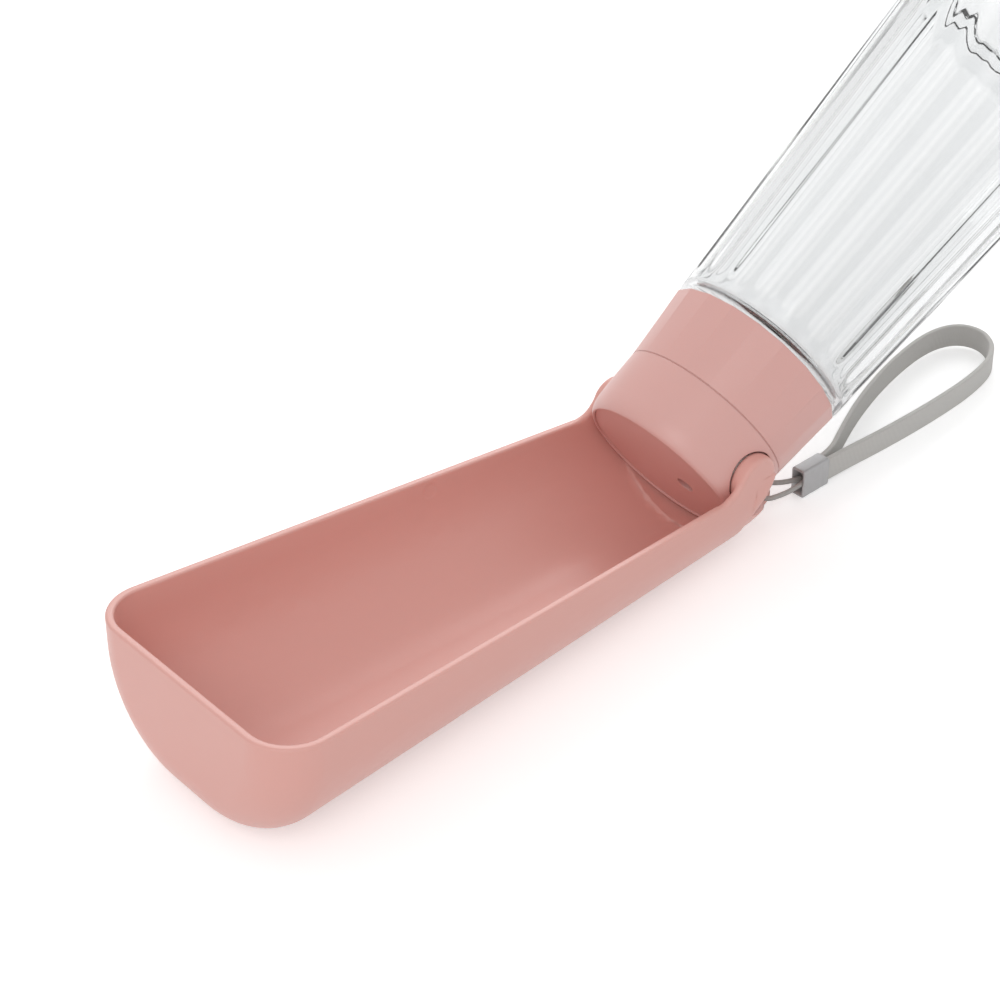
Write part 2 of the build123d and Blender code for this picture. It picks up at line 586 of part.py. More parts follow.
def bottle_outline():
    """Half section of the bottle: neck, shoulder, cone, rounded base with its hollow."""
    base_radius = bottle_radius(BOTTLE_LENGTH - BASE_ROUND)
    neck_bore = NECK_RADIUS - NECK_WALL
    floor = BOTTLE_LENGTH - BASE_HOLLOW - BOTTLE_WALL
    shoulder_bend = SHOULDER_ROUND * (1 - sqrt(0.5))
    base_bend = BASE_ROUND * (1 - sqrt(0.5))
    foot = base_radius - BASE_ROUND
    inner_round = BASE_ROUND - BOTTLE_WALL
    inner_base = bottle_radius(floor - inner_round) - BOTTLE_WALL
    inner_base_bend = inner_round * (1 - sqrt(0.5))
    ledge = BOTTLE_START + BOTTLE_WALL
    cone_start = ledge + INNER_SHOULDER_ROUND
    cone_bore = bottle_radius(cone_start) - BOTTLE_WALL
    ledge_bend = INNER_SHOULDER_ROUND * (1 - sqrt(0.5))
    hollow_radius = foot - BASE_RING / 2
    with BuildSketch(Plane.XZ) as outline:
        with BuildLine():
            Polyline(
                (neck_bore, NECK_FRONT),
                (NECK_RADIUS, NECK_FRONT),
                (NECK_RADIUS, BOTTLE_START),
                (BOTTLE_START_RADIUS - SHOULDER_ROUND, BOTTLE_START),
            )
            ThreePointArc(
                (BOTTLE_START_RADIUS - SHOULDER_ROUND, BOTTLE_START),
                (BOTTLE_START_RADIUS - shoulder_bend, BOTTLE_START + shoulder_bend),
                (bottle_radius(BOTTLE_START + SHOULDER_ROUND), BOTTLE_START + SHOULDER_ROUND),
            )
            Line(
                (bottle_radius(BOTTLE_START + SHOULDER_ROUND), BOTTLE_START + SHOULDER_ROUND),
                (base_radius, BOTTLE_LENGTH - BASE_ROUND),
            )
            ThreePointArc(
                (base_radius, BOTTLE_LENGTH - BASE_ROUND),
                (base_radius - base_bend, BOTTLE_LENGTH - base_bend),
                (foot, BOTTLE_LENGTH),
            )
            Line((foot, BOTTLE_LENGTH), (hollow_radius + BASE_HOLLOW, BOTTLE_LENGTH))
            Polyline(
                (hollow_radius + BASE_HOLLOW, BOTTLE_LENGTH),
                (hollow_radius, BOTTLE_LENGTH - BASE_HOLLOW),
                (0, BOTTLE_LENGTH - BASE_HOLLOW),
                (0, floor),
                (inner_base - inner_round, floor),
            )
            ThreePointArc(
                (inner_base - inner_round, floor),
                (inner_base - inner_base_bend, floor - inner_base_bend),
                (inner_base, floor - inner_round),
            )
            Line((inner_base, floor - inner_round), (cone_bore, cone_start))
            ThreePointArc(
                (cone_bore, cone_start),
                (cone_bore - ledge_bend, ledge + ledge_bend),
                (cone_bore - INNER_SHOULDER_ROUND, ledge),
            )
            Polyline((cone_bore - INNER_SHOULDER_ROUND, ledge), (neck_bore, ledge), (neck_bore, NECK_FRONT))
        make_face()
    return outline.sketch


def flute_tool():
    """Cylinder laid along the cone, round at its start, which sinks one flute."""
    start = BOTTLE_START + FLUTE_START + sqrt(2 * FLUTE_TOOL_RADIUS * FLUTE_DEPTH)
    lean = degrees(atan2(BOTTLE_TAPER, 1))
    offset = FLUTE_TOOL_RADIUS - FLUTE_DEPTH
    start_axis = bottle_radius(start) + offset
    tool = Cylinder(FLUTE_TOOL_RADIUS, BOTTLE_LENGTH, align=(Align.CENTER, Align.CENTER, Align.MIN))
    tool = tool + Sphere(FLUTE_TOOL_RADIUS)
    return Pos(start_axis, 0, start) * Rot(0, lean, 0) * tool


def make_bottle():
    """Thick clear bottle with twenty round-ended flutes in line with the ring's facets."""
    bottle = revolve(bottle_outline(), Axis.Z)
    tool = flute_tool()
    for i in range(FACET_COUNT):
        bottle = bottle - Rot(0, 0, i * 360 / FACET_COUNT) * tool
    crest_radius = NECK_RADIUS + NECK_FIT - THREAD_FIT
    for i in range(THREAD_COUNT):
        low = NECK_FRONT + THREAD_START + i * THREAD_PITCH
        bottle = bottle + turned([
            (NECK_RADIUS - THREAD_ROOT, low),
            (crest_radius, low + THREAD_FLANK),
            (crest_radius, low + THREAD_FLANK + THREAD_CREST),
            (NECK_RADIUS - THREAD_ROOT, low + 2 * THREAD_FLANK + THREAD_CREST),
        ])
    return bottle


def make_neck_seal():
    """Ring seal at the foot of the neck, carried along when the bottle is screwed out."""
    height = BOTTLE_START - NECK_SEAL_WIRE - PRESS_FIT
    return seal_ring(NECK_RADIUS + NECK_SEAL_WIRE + ORING_FIT, NECK_SEAL_WIRE, height)


# ---------------------------------------------------------------- wrist strap
def corner_radii(points):
    """Largest tangent arcs that the runs beside each corner allow."""
    radii = []
    for before, here, after in zip(points, points[1:], points[2:]):
        run_in = Vector(*here) - Vector(*before)
        run_out = Vector(*after) - Vector(*here)
        turn = radians(run_in.get_angle(run_out))
        radii.append(ARC_SHARE * min(run_in.length, run_out.length) / tan(turn / 2))
    return radii


def make_webbing():
    """Flat woven loop that lies on its edge behind the trough."""
    radii = corner_radii(WEBBING_ROUTE)
    path = FilletPolyline(*WEBBING_ROUTE, radius=radii)
    start = path @ 0
    across = Plane(origin=start, z_dir=path % 0, x_dir=(0, 0, 1))
    section = across * Rectangle(WEBBING_WIDTH, WEBBING_THICKNESS)
    band = sweep(section, path=path)
    print("webbing radii", [round(r, 1) for r in radii], "length", round(path.length, 1),
          "volume", round(band.volume, 1), "of", round(path.length * WEBBING_WIDTH * WEBBING_THICKNESS, 1))
    return Pos(0, 0, CRIMP_WALL + CRIMP_FIT + WEBBING_WIDTH / 2) * band


def cord_route():
    """Doubled cord: out of the crimp, through the eyelet and back, from the hinge foot."""
    eye = Rot(0, TROUGH_TILT, 0) * Pos(eyelet_centre())
    hole = eye.position
    hole_height = HINGE_Z + hole.Z
    height = CRIMP_WALL + CRIMP_FIT + WEBBING_WIDTH / 2
    halfway = (height + hole_height) / 2
    step = CORD_DIAMETER / 5
    spread = EYELET_THICKNESS / 2 + CORD_DIAMETER / 2 + 3 * step
    near_y = EYELET_Y - spread
    far_y = EYELET_Y + spread
    exit_near = CRIMP_Y - 3 * step
    exit_far = CRIMP_Y + 3 * step
    back = hole.X + EYELET_RADIUS
    return [
        (CRIMP_X + CRIMP_CORD_BITE, exit_far, height),
        (CRIMP_X - CORD_LEAD, exit_far + step, height + 3 * step),
        (back + 5 * step, far_y + 3 * step, halfway + CORD_RISE),
        (hole.X + 2 * step, far_y + step, hole_height + step),
        (hole.X - step / 2, EYELET_Y + 4 * step, hole_height + step),
        (hole.X - step / 2, EYELET_Y - 4 * step, hole_height + step / 2),
        (hole.X + 2 * step, near_y - step, hole_height + step / 2),
        (back + 4 * step, near_y - 2 * step, halfway + step),
        (CRIMP_X - CORD_LEAD, exit_near - step, height - step),
        (CRIMP_X + CRIMP_CORD_BITE, exit_near, height),
    ]


def make_strap_cord():
    """Thin cord loop between the eyelet and the crimp."""
    route = cord_route()
    radii = corner_radii(route)
    path = FilletPolyline(*route, radius=radii)
    section = Plane(origin=path @ 0, z_dir=path % 0) * RegularPolygon(CORD_DIAMETER / 2, 8)
    loop = sweep(section, path=path)
    print("cord radii", [round(r, 1) for r in radii], "length", round(path.length, 1),
          "volume", round(loop.volume, 1), "of", round(path.length * section.area, 1))
    print("cord route", [tuple(round(c, 2) for c in p) for p in route])
    return loop


def make_crimp():
    """Folded clamp round the webbing's two ends and the cord's."""
    depth = 2 * WEBBING_THICKNESS + WEBBING_GAP + 2 * (CRIMP_WALL + CRIMP_FIT)
    height = WEBBING_WIDTH + 2 * (CRIMP_WALL + CRIMP_FIT)
    body = Box(CRIMP_LENGTH, depth, height)
    body = fillet(body.edges().filter_by(Axis.X), CRIMP_EDGE_RADIUS)
    hollow = Box(CRIMP_LENGTH + CUT, depth - 2 * CRIMP_WALL, height - 2 * CRIMP_WALL)
    return Pos(CRIMP_X + CRIMP_LENGTH / 2, CRIMP_Y, height / 2) * (body - hollow)


# ---------------------------------------------------------------- write the parts
def main():
    """Build every piece in its place and write one file for each."""
    os.makedirs("parts", exist_ok=True)
    pieces = {
        "drinking_trough": trough_place(make_trough()),
        "collar_shell": head_place(make_collar()),
        "outlet_plate": head_place(make_outlet_plate()),
        "outlet_seal": head_place(make_outlet_seal()),
        "hinge_pins": head_place(make_hinge_pins()),
        "hinge_washers": head_place(make_hinge_washers()),
        "valve_disc": head_place(make_valve_disc()),
        "valve_disc_spring": head_place(make_disc_spring()),
        "inner_cap": head_place(make_inner_cap()),
        "vent_valve": head_place(make_vent_valve()),
        "cap_oring": head_place(make_cap_oring()),
        "snap_ring": head_place(make_snap_ring()),
        "neck_gasket": head_place(make_neck_gasket()),
        "twist_ring": head_place(make_twist_ring()),
        "bottle_shell": head_place(make_bottle()),
        "neck_seal": head_place(make_neck_seal()),
        "strap_cord": floor_place(make_strap_cord()),
        "strap_crimp": floor_place(make_crimp()),
        "strap_webbing": floor_place(make_webbing()),
    }
    for name, piece in pieces.items():
        export_step(piece, f"parts/{name}.step")


main()
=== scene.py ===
"""Looks of a travel water bottle for dogs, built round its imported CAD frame.

The bottle is a clear fluted shell, the head and trough are moulded satin plastic and the
strap is a woven band on a short cord.  Lengths are metres in the frame, and the dataclass
fields that end in _mm are millimetres.
"""

import json
import logging
from dataclasses import dataclass, field
from enum import Enum
from typing import Callable, Dict, List, Sequence, Tuple

import bpy
import numpy as np
from mathutils import Matrix, Vector

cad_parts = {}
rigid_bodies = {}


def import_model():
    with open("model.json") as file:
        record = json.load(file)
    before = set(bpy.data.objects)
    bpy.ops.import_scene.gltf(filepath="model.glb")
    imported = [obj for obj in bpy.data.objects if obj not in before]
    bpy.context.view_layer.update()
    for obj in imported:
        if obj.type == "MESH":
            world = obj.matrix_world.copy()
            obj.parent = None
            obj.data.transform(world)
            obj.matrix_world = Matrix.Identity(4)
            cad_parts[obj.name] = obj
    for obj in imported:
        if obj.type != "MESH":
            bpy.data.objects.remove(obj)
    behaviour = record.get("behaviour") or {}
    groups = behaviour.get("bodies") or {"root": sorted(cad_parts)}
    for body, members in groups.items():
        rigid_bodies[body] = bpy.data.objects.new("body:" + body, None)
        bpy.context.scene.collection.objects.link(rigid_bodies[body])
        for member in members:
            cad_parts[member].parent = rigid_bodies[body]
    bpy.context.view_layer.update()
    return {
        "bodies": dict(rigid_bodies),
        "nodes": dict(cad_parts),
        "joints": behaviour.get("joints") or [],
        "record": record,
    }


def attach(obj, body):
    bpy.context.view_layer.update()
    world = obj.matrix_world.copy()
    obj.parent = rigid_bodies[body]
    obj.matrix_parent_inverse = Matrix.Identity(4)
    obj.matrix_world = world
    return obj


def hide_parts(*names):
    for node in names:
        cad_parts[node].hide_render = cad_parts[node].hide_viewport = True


LOG = logging.getLogger("bottle_scene")
MM = 0.001
Color = Tuple[float, float, float]
ShareRule = Callable[[np.ndarray], np.ndarray]


class SealKind(Enum):
    """Rubber mixes used for the seals."""

    MILKY = (0.70, 0.70, 0.67)
    DUSKY_PINK = (0.42, 0.17, 0.14)


class Grain(Enum):
    """Surface grains that a mould can give, as (scale per metre, bump strength)."""

    SATIN = (2600.0, 0.030)
    FINE = (4200.0, 0.018)


# ---------------------------------------------------------------- places
@dataclass(frozen=True)
class Place:
    """Rigid place of a sub-assembly: an origin and three unit axes in the frame."""

    origin: Tuple[float, float, float]
    x_axis: Tuple[float, float, float]
    y_axis: Tuple[float, float, float]
    z_axis: Tuple[float, float, float]

    def world(self, points_mm: np.ndarray) -> np.ndarray:
        """Carry local points into the frame: origin plus each coordinate along its axis.

        Args:
            points_mm: array of shape (..., 3), in millimetres.

        Returns:
            Array of the same shape, in metres.
        """
        axes = np.array([self.x_axis, self.y_axis, self.z_axis])
        return np.array(self.origin) + (points_mm * MM) @ axes


def tilted_place(origin: Tuple[float, float, float], degrees: float) -> Place:
    """Place whose X and Z axes are turned about Y, as the CAD turns its sub-assemblies.

    Args:
        origin: the place's origin, in metres.
        degrees: turn that carries Z towards X.

    Returns:
        The place.
    """
    turn = np.radians(degrees)
    cos, sin = float(np.cos(turn)), float(np.sin(turn))
    return Place(origin, (cos, 0.0, -sin), (0.0, 1.0, 0.0), (sin, 0.0, cos))


@dataclass(frozen=True)
class Layout:
    """Where the sub-assemblies lie in the frame, with the CAD's own numbers."""

    hinge_x_mm: float = 70.3
    hinge_depth_mm: float = 29.8
    trough_tilt: float = 4.0
    pour_angle: float = 29.4

    @property
    def hinge(self) -> Tuple[float, float, float]:
        """Middle of the hinge axis, in metres."""
        height = self.hinge_depth_mm * np.cos(np.radians(self.trough_tilt))
        return (self.hinge_x_mm * MM, 0.0, float(height) * MM)

    @property
    def head(self) -> Place:
        """Head frame: Z from the outlet face to the bottle's base."""
        return tilted_place(self.hinge, 90.0 - self.pour_angle)

    @property
    def trough(self) -> Place:
        """Trough frame: X level with the rim, away from the far end."""
        return tilted_place(self.hinge, self.trough_tilt)

    @property
    def floor(self) -> Place:
        """Floor frame: foot of the hinge axis."""
        return Place((self.hinge_x_mm * MM, 0.0, 0.0), (1.0, 0.0, 0.0), (0.0, 1.0, 0.0), (0.0, 0.0, 1.0))


# ---------------------------------------------------------------- mesh tools
def grid_faces(rows: int, columns: int, wrap_columns: bool, wrap_rows: bool = False) -> np.ndarray:
    """Quads of a rows by columns grid: each joins a point, its next in the row and the row above.

    Args:
        rows: number of grid rows.
        columns: number of points in a row.
        wrap_columns: whether the last column meets the first.
        wrap_rows: whether the last row meets the first.

    Returns:
        Integer array of shape (faces, 4).
    """
    row_count = rows if wrap_rows else rows - 1
    column_count = columns if wrap_columns else columns - 1
    row, column = np.meshgrid(np.arange(row_count), np.arange(column_count), indexing="ij")
    next_row, next_column = (row + 1) % rows, (column + 1) % columns
    quads = np.stack([
        row * columns + column,
        row * columns + next_column,
        next_row * columns + next_column,
        next_row * columns + column,
    ], axis=-1)
    return quads.reshape(-1, 4)


def new_piece(name: str, points: np.ndarray, faces: Sequence[Sequence[int]]) -> bpy.types.Object:
    """Make a smooth mesh object at the origin with its normals turned outwards.

    Args:
        name: name of the object.
        points: array of shape (n, 3), in metres.
        faces: corner indices of each face.

    Returns:
        The linked object.
    """
    mesh = bpy.data.meshes.new(name)
    mesh.from_pydata(points.tolist(), [], [list(map(int, face)) for face in faces])
    mesh.validate()
    mesh.polygons.foreach_set("use_smooth", np.ones(len(mesh.polygons), dtype=bool))
    mesh.update()
    piece = bpy.data.objects.new(name, mesh)
    bpy.context.scene.collection.objects.link(piece)
    outward(piece)
    return piece


def outward(piece: bpy.types.Object) -> None:
    """Recalculate a closed mesh's normals so that its faces point outwards."""
    import bmesh

    shell = bmesh.new()
    shell.from_mesh(piece.data)
    bmesh.ops.recalc_face_normals(shell, faces=shell.faces)
    shell.to_mesh(piece.data)
    shell.free()


def write_uv(piece: bpy.types.Object, corner_uv: np.ndarray) -> None:
    """Store one UV pair for each vertex, which every corner of that vertex reads.

    Args:
        piece: mesh object.
        corner_uv: array of shape (vertices, 2).
    """
    layer = piece.data.uv_layers.new(name="weave")
    index = np.zeros(len(piece.data.loops), dtype=np.int32)
    piece.data.loops.foreach_get("vertex_index", index)
    layer.data.foreach_set("uv", corner_uv[index].astype(np.float32).ravel())


def lathe(profile: np.ndarray, columns: int) -> Tuple[np.ndarray, List[List[int]]]:
    """Turn an outline whose two ends lie on the axis: radius times cosine and sine of each angle.

    Args:
        profile: array (rows, 2) of radius and height; first and last radius are nought.
        columns: points round the axis.

    Returns:
        Points of shape (n, 3) in the outline's units, and the faces.
    """
    angle = np.linspace(0.0, 2.0 * np.pi, columns, endpoint=False)
    body = profile[1:-1]
    ring = np.stack([
        body[:, None, 0] * np.cos(angle),
        body[:, None, 0] * np.sin(angle),
        np.repeat(body[:, 1:2], columns, axis=1),
    ], axis=-1).reshape(-1, 3)
    poles = np.array([[0.0, 0.0, profile[0, 1]], [0.0, 0.0, profile[-1, 1]]])
    points = np.concatenate([ring, poles])
    faces = grid_faces(len(body), columns, True).tolist()
    return points, faces + cap_fans(len(body), columns)


def cap_fans(rows: int, columns: int) -> List[List[int]]:
    """Triangles from the two poles, stored after the grid, to its first and last row."""
    here = np.arange(columns)
    after = (here + 1) % columns
    first_pole, last_pole = rows * columns, rows * columns + 1
    last = (rows - 1) * columns
    low = np.stack([np.full(columns, first_pole), after, here], axis=-1)
    high = np.stack([np.full(columns, last_pole), last + here, last + after], axis=-1)
    return low.tolist() + high.tolist()


def arc(center: Tuple[float, float], radius: float, start: float, end: float, count: int) -> np.ndarray:
    """Points of a round: centre plus radius times cosine and sine, from one angle to another.

    Args:
        center: middle of the round.
        radius: its radius.
        start: first angle, in degrees.
        end: last angle, in degrees.
        count: number of points.

    Returns:
        Array of shape (count, 2).
    """
    angle = np.radians(np.linspace(start, end, count))
    return np.stack([center[0] + radius * np.cos(angle), center[1] + radius * np.sin(angle)], axis=-1)


def straight(start: Tuple[float, float], end: Tuple[float, float], count: int) -> np.ndarray:
    """Evenly spaced points from one end of a line to the other, in two coordinates."""
    share = np.linspace(0.0, 1.0, count)[:, None]
    return np.array(start) * (1.0 - share) + np.array(end) * share


def rounded_box_outline(half_width: float, half_height: float, radius: float, steps: int) -> np.ndarray:
    """Outline of a rectangle whose four corners are quarter rounds, in order round it.

    Args:
        half_width: half of the first size.
        half_height: half of the second size.
        radius: corner radius.
        steps: points on each corner.

    Returns:
        Array of shape (4 * steps, 2).
    """
    corners = []
    for index, (sign_x, sign_y) in enumerate([(1, 1), (-1, 1), (-1, -1), (1, -1)]):
        middle = (sign_x * (half_width - radius), sign_y * (half_height - radius))
        corners.append(arc(middle, radius, 90.0 * index, 90.0 * (index + 1), steps))
    return np.concatenate(corners)


def route_line(name: str, control_points: np.ndarray, steps: int) -> np.ndarray:
    """Points of a smooth second-degree NURBS line with the given control points.

    Args:
        name: name for the temporary curve.
        control_points: array (n, 3), in metres.
        steps: points between neighbouring control points.

    Returns:
        Array (m, 3), in metres.
    """
    curve = bpy.data.curves.new(name, "CURVE")
    curve.dimensions = "3D"
    curve.resolution_u = steps
    spline = curve.splines.new("NURBS")
    spline.points.add(len(control_points) - 1)
    weighted = np.concatenate([control_points, np.ones((len(control_points), 1))], axis=1)
    spline.points.foreach_set("co", weighted.astype(np.float32).ravel())
    spline.order_u = 3
    spline.use_endpoint_u = True
    holder = bpy.data.objects.new(name, curve)
    bpy.context.scene.collection.objects.link(holder)
    bpy.context.view_layer.update()
    graph = bpy.context.evaluated_depsgraph_get()
    mesh = bpy.data.meshes.new_from_object(holder.evaluated_get(graph))
    line = np.zeros(len(mesh.vertices) * 3)
    mesh.vertices.foreach_get("co", line)
    bpy.data.objects.remove(holder)
    bpy.data.curves.remove(curve)
    bpy.data.meshes.remove(mesh)
    return line.reshape(-1, 3)


def sweep_section(
    line: np.ndarray, section: np.ndarray, up: np.ndarray
) -> Tuple[np.ndarray, List[List[int]], np.ndarray]:
    """Carry a closed section along a line: point plus section along the side and the up vectors.

    Args:
        line: array (rows, 3), in metres.
        section: array (columns, 2): across the side vector and along the up vector, in metres.
        up: array (rows, 3) of wished up vectors, made square to the line here.

    Returns:
        Points, faces and a UV pair for each point: distance along and round, in metres.
    """
    tangent = np.gradient(line, axis=0)
    tangent /= np.linalg.norm(tangent, axis=1, keepdims=True)
    side = np.cross(tangent, up)
    side /= np.linalg.norm(side, axis=1, keepdims=True)
    rise = np.cross(side, tangent)
    points = line[:, None] + side[:, None] * section[None, :, :1] + rise[:, None] * section[None, :, 1:]
    rows, columns = points.shape[:2]
    faces = grid_faces(rows, columns, True).tolist()
    faces.append(list(range(columns)))
    faces.append(list(range((rows - 1) * columns, rows * columns)))
    along = np.concatenate([[0.0], np.cumsum(np.linalg.norm(np.diff(line, axis=0), axis=1))])
    round_steps = np.linalg.norm(np.diff(section, axis=0, append=section[:1]), axis=1)
    around = np.concatenate([[0.0], np.cumsum(round_steps)[:-1]])
    uv = np.stack(np.meshgrid(along, around, indexing="ij"), axis=-1).reshape(-1, 2)
    return points.reshape(-1, 3), faces, uv


def eased_copy(source: bpy.types.Object, name: str, step: float, passes: int, share: ShareRule) -> bpy.types.Object:
    """Copy a CAD node's shape, finely meshed and smoothed where the share says, as it is elsewhere.

    Args:
        source: the carried-over node, which stays as it is.
        name: name of the copy.
        step: longest edge left where the shape is smoothed, in metres.
        passes: smoothing passes.
        share: gives points (n, 3) in metres their share of the smoothing, 0 to 1.

    Returns:
        The linked copy.
    """
    import bmesh

    shell = bmesh.new()
    shell.from_mesh(source.data)
    shell.transform(source.matrix_world)
    bmesh.ops.remove_doubles(shell, verts=shell.verts[:], dist=1e-6)
    bmesh.ops.triangulate(shell, faces=shell.faces[:])
    for _ in range(12):
        long_edges = [edge for edge in shell.edges if edge.calc_length() > step]
        ends = np.array([[tuple(vertex.co) for vertex in edge.verts] for edge in long_edges])
        reach = np.linspace(0.0, 1.0, 33)[None, :, None]
        along = ends[:, None, 0] * (1.0 - reach) + ends[:, None, 1] * reach
        touched = share(along.reshape(-1, 3)).reshape(len(long_edges), -1).max(axis=1) > 0.0
        chosen = [edge for edge, wanted in zip(long_edges, touched) if wanted]
        if not chosen:
            break
        bmesh.ops.subdivide_edges(shell, edges=chosen, cuts=1)
        bmesh.ops.triangulate(shell, faces=shell.faces[:])
    mesh = bpy.data.meshes.new(name)
    shell.to_mesh(mesh)
    shell.free()
    ease_vertices(mesh, passes, share)
    mesh.polygons.foreach_set("use_smooth", np.ones(len(mesh.polygons), dtype=bool))
    mesh.set_sharp_from_angle(angle=np.radians(38.0))
    piece = bpy.data.objects.new(name, mesh)
    bpy.context.scene.collection.objects.link(piece)
    even = piece.modifiers.new("even_normals", "WEIGHTED_NORMAL")
    even.keep_sharp = True
    bpy.context.view_layer.update()
    graph = bpy.context.evaluated_depsgraph_get()
    piece.data = bpy.data.meshes.new_from_object(piece.evaluated_get(graph))
    piece.modifiers.clear()
    return piece


def ease_vertices(mesh: bpy.types.Mesh, passes: int, share: ShareRule) -> None:
    """Move each vertex halfway to the mean of its neighbours, times its share, at each pass."""
    points = np.zeros(len(mesh.vertices) * 3)
    mesh.vertices.foreach_get("co", points)
    points = points.reshape(-1, 3)
    ends = np.zeros(len(mesh.edges) * 2, dtype=np.int64)
    mesh.edges.foreach_get("vertices", ends)
    first, second = ends.reshape(-1, 2).T
    part = share(points)[:, None]
    count = np.bincount(ends, minlength=len(points))[:, None]
    for _ in range(passes):
        total = np.zeros_like(points)
        np.add.at(total, first, points[second])
        np.add.at(total, second, points[first])
        points = points + 0.5 * part * (total / np.maximum(count, 1) - points)
    mesh.vertices.foreach_set("co", points.astype(np.float32).ravel())


# ---------------------------------------------------------------- shared shader groups
class GroupLibrary:
    """Shader node groups that several finishes use, each built once."""

    def __init__(self) -> None:
        """Start with no group built."""
        self._built: Dict[str, bpy.types.NodeTree] = {}

    def _start(self, name: str, inputs: Dict[str, Tuple[str, object]], outputs: Dict[str, str]):
        """Make an empty group with its named sockets.

        Args:
            name: the group's name.
            inputs: socket name to its type and default value.
            outputs: socket name to its type.

        Returns:
            The tree, its input node and its output node.
        """
        tree = bpy.data.node_groups.new(name, "ShaderNodeTree")
        for label, (kind, value) in inputs.items():
            socket = tree.interface.new_socket(name=label, in_out="INPUT", socket_type=kind)
            if value is not None:
                socket.default_value = value
        for label, kind in outputs.items():
            tree.interface.new_socket(name=label, in_out="OUTPUT", socket_type=kind)
        entry = tree.nodes.new("NodeGroupInput")
        leave = tree.nodes.new("NodeGroupOutput")
        self._built[name] = tree
        return tree, entry, leave

    def tone_drift(self) -> bpy.types.NodeTree:
        """Slow change between two tones: a soft noise of the position mixes the second into the first."""
        if "tone_drift" in self._built:
            return self._built["tone_drift"]
        tree, entry, leave = self._start(
            "tone_drift",
            {"Position": ("NodeSocketVector", None), "Tone": ("NodeSocketColor", None),
             "Second": ("NodeSocketColor", None), "Scale": ("NodeSocketFloat", 20.0),
             "Amount": ("NodeSocketFloat", 0.5)},
            {"Color": "NodeSocketColor"})
        noise = tree.nodes.new("ShaderNodeTexNoise")
        noise.inputs["Detail"].default_value = 3.0
        scale = tree.nodes.new("ShaderNodeMath")
        scale.operation = "MULTIPLY"
        mix = tree.nodes.new("ShaderNodeMix")
        mix.data_type = "RGBA"
        links = tree.links
        links.new(entry.outputs["Position"], noise.inputs["Vector"])
        links.new(entry.outputs["Scale"], noise.inputs["Scale"])
        links.new(noise.outputs["Fac"], scale.inputs[0])
        links.new(entry.outputs["Amount"], scale.inputs[1])
        links.new(scale.outputs[0], mix.inputs["Factor"])
        links.new(entry.outputs["Tone"], mix.inputs["A"])
        links.new(entry.outputs["Second"], mix.inputs["B"])
        links.new(mix.outputs["Result"], leave.inputs["Color"])
        return tree

    def moulded_grain(self) -> bpy.types.NodeTree:
        """Fine mould grain and handling marks: a fine noise as height, a coarse one as roughness."""
        if "moulded_grain" in self._built:
            return self._built["moulded_grain"]
        tree, entry, leave = self._start(
            "moulded_grain",
            {"Position": ("NodeSocketVector", None), "Grain": ("NodeSocketFloat", 2600.0),
             "Smooth": ("NodeSocketFloat", 0.35), "Spread": ("NodeSocketFloat", 0.1)},
            {"Height": "NodeSocketFloat", "Roughness": "NodeSocketFloat"})
        fine = tree.nodes.new("ShaderNodeTexNoise")
        fine.inputs["Detail"].default_value = 2.0
        coarse = tree.nodes.new("ShaderNodeTexNoise")
        coarse.inputs["Scale"].default_value = 90.0
        coarse.inputs["Detail"].default_value = 5.0
        spread = tree.nodes.new("ShaderNodeMath")
        spread.operation = "MULTIPLY_ADD"
        links = tree.links
        links.new(entry.outputs["Position"], fine.inputs["Vector"])
        links.new(entry.outputs["Grain"], fine.inputs["Scale"])
        links.new(entry.outputs["Position"], coarse.inputs["Vector"])
        links.new(coarse.outputs["Fac"], spread.inputs[0])
        links.new(entry.outputs["Spread"], spread.inputs[1])
        links.new(entry.outputs["Smooth"], spread.inputs[2])
        links.new(fine.outputs["Fac"], leave.inputs["Height"])
        links.new(spread.outputs[0], leave.inputs["Roughness"])
        return tree


    def edge_wear_and_highlight(self) -> bpy.types.NodeTree:
        """Softened edges: a bevelled normal, and a mask from how far it leans off the true one; finishes use the
        mask to paint edges lighter, partly as wear and partly as a painted highlight.
        """
        if "edge_wear_and_highlight" in self._built:
            return self._built["edge_wear_and_highlight"]
        tree, entry, leave = self._start(
            "edge_wear_and_highlight",
            {"Radius": ("NodeSocketFloat", 0.0004), "Reach": ("NodeSocketFloat", 0.12)},
            {"Mask": "NodeSocketFloat", "Normal": "NodeSocketVector"})
        bevel = tree.nodes.new("ShaderNodeBevel")
        bevel.samples = 4
        geometry = tree.nodes.new("ShaderNodeNewGeometry")
        agree = tree.nodes.new("ShaderNodeVectorMath")
        agree.operation = "DOT_PRODUCT"
        lean = tree.nodes.new("ShaderNodeMath")
        lean.operation = "SUBTRACT"
        lean.inputs[0].default_value = 1.0
        mask = tree.nodes.new("ShaderNodeMapRange")
        links = tree.links
        links.new(entry.outputs["Radius"], bevel.inputs["Radius"])
        links.new(bevel.outputs["Normal"], agree.inputs[0])
        links.new(geometry.outputs["Normal"], agree.inputs[1])
        links.new(agree.outputs["Value"], lean.inputs[1])
        links.new(lean.outputs[0], mask.inputs["Value"])
        links.new(entry.outputs["Reach"], mask.inputs["From Max"])
        links.new(mask.outputs["Result"], leave.inputs["Mask"])
        links.new(bevel.outputs["Normal"], leave.inputs["Normal"])
        return tree


GROUPS = GroupLibrary()


def start_material(name: str) -> Tuple[bpy.types.Material, bpy.types.NodeTree, bpy.types.Node, bpy.types.Node]:
    """Make a material with a Principled shader and a Texture Coordinate node.

    Args:
        name: name of the finish.

    Returns:
        The material, its tree, the shader node and the coordinate node.
    """
    material = bpy.data.materials.new(name)
    material.use_nodes = True
    tree = material.node_tree
    shader = tree.nodes["Principled BSDF"]
    coordinates = tree.nodes.new("ShaderNodeTexCoord")
    return material, tree, shader, coordinates


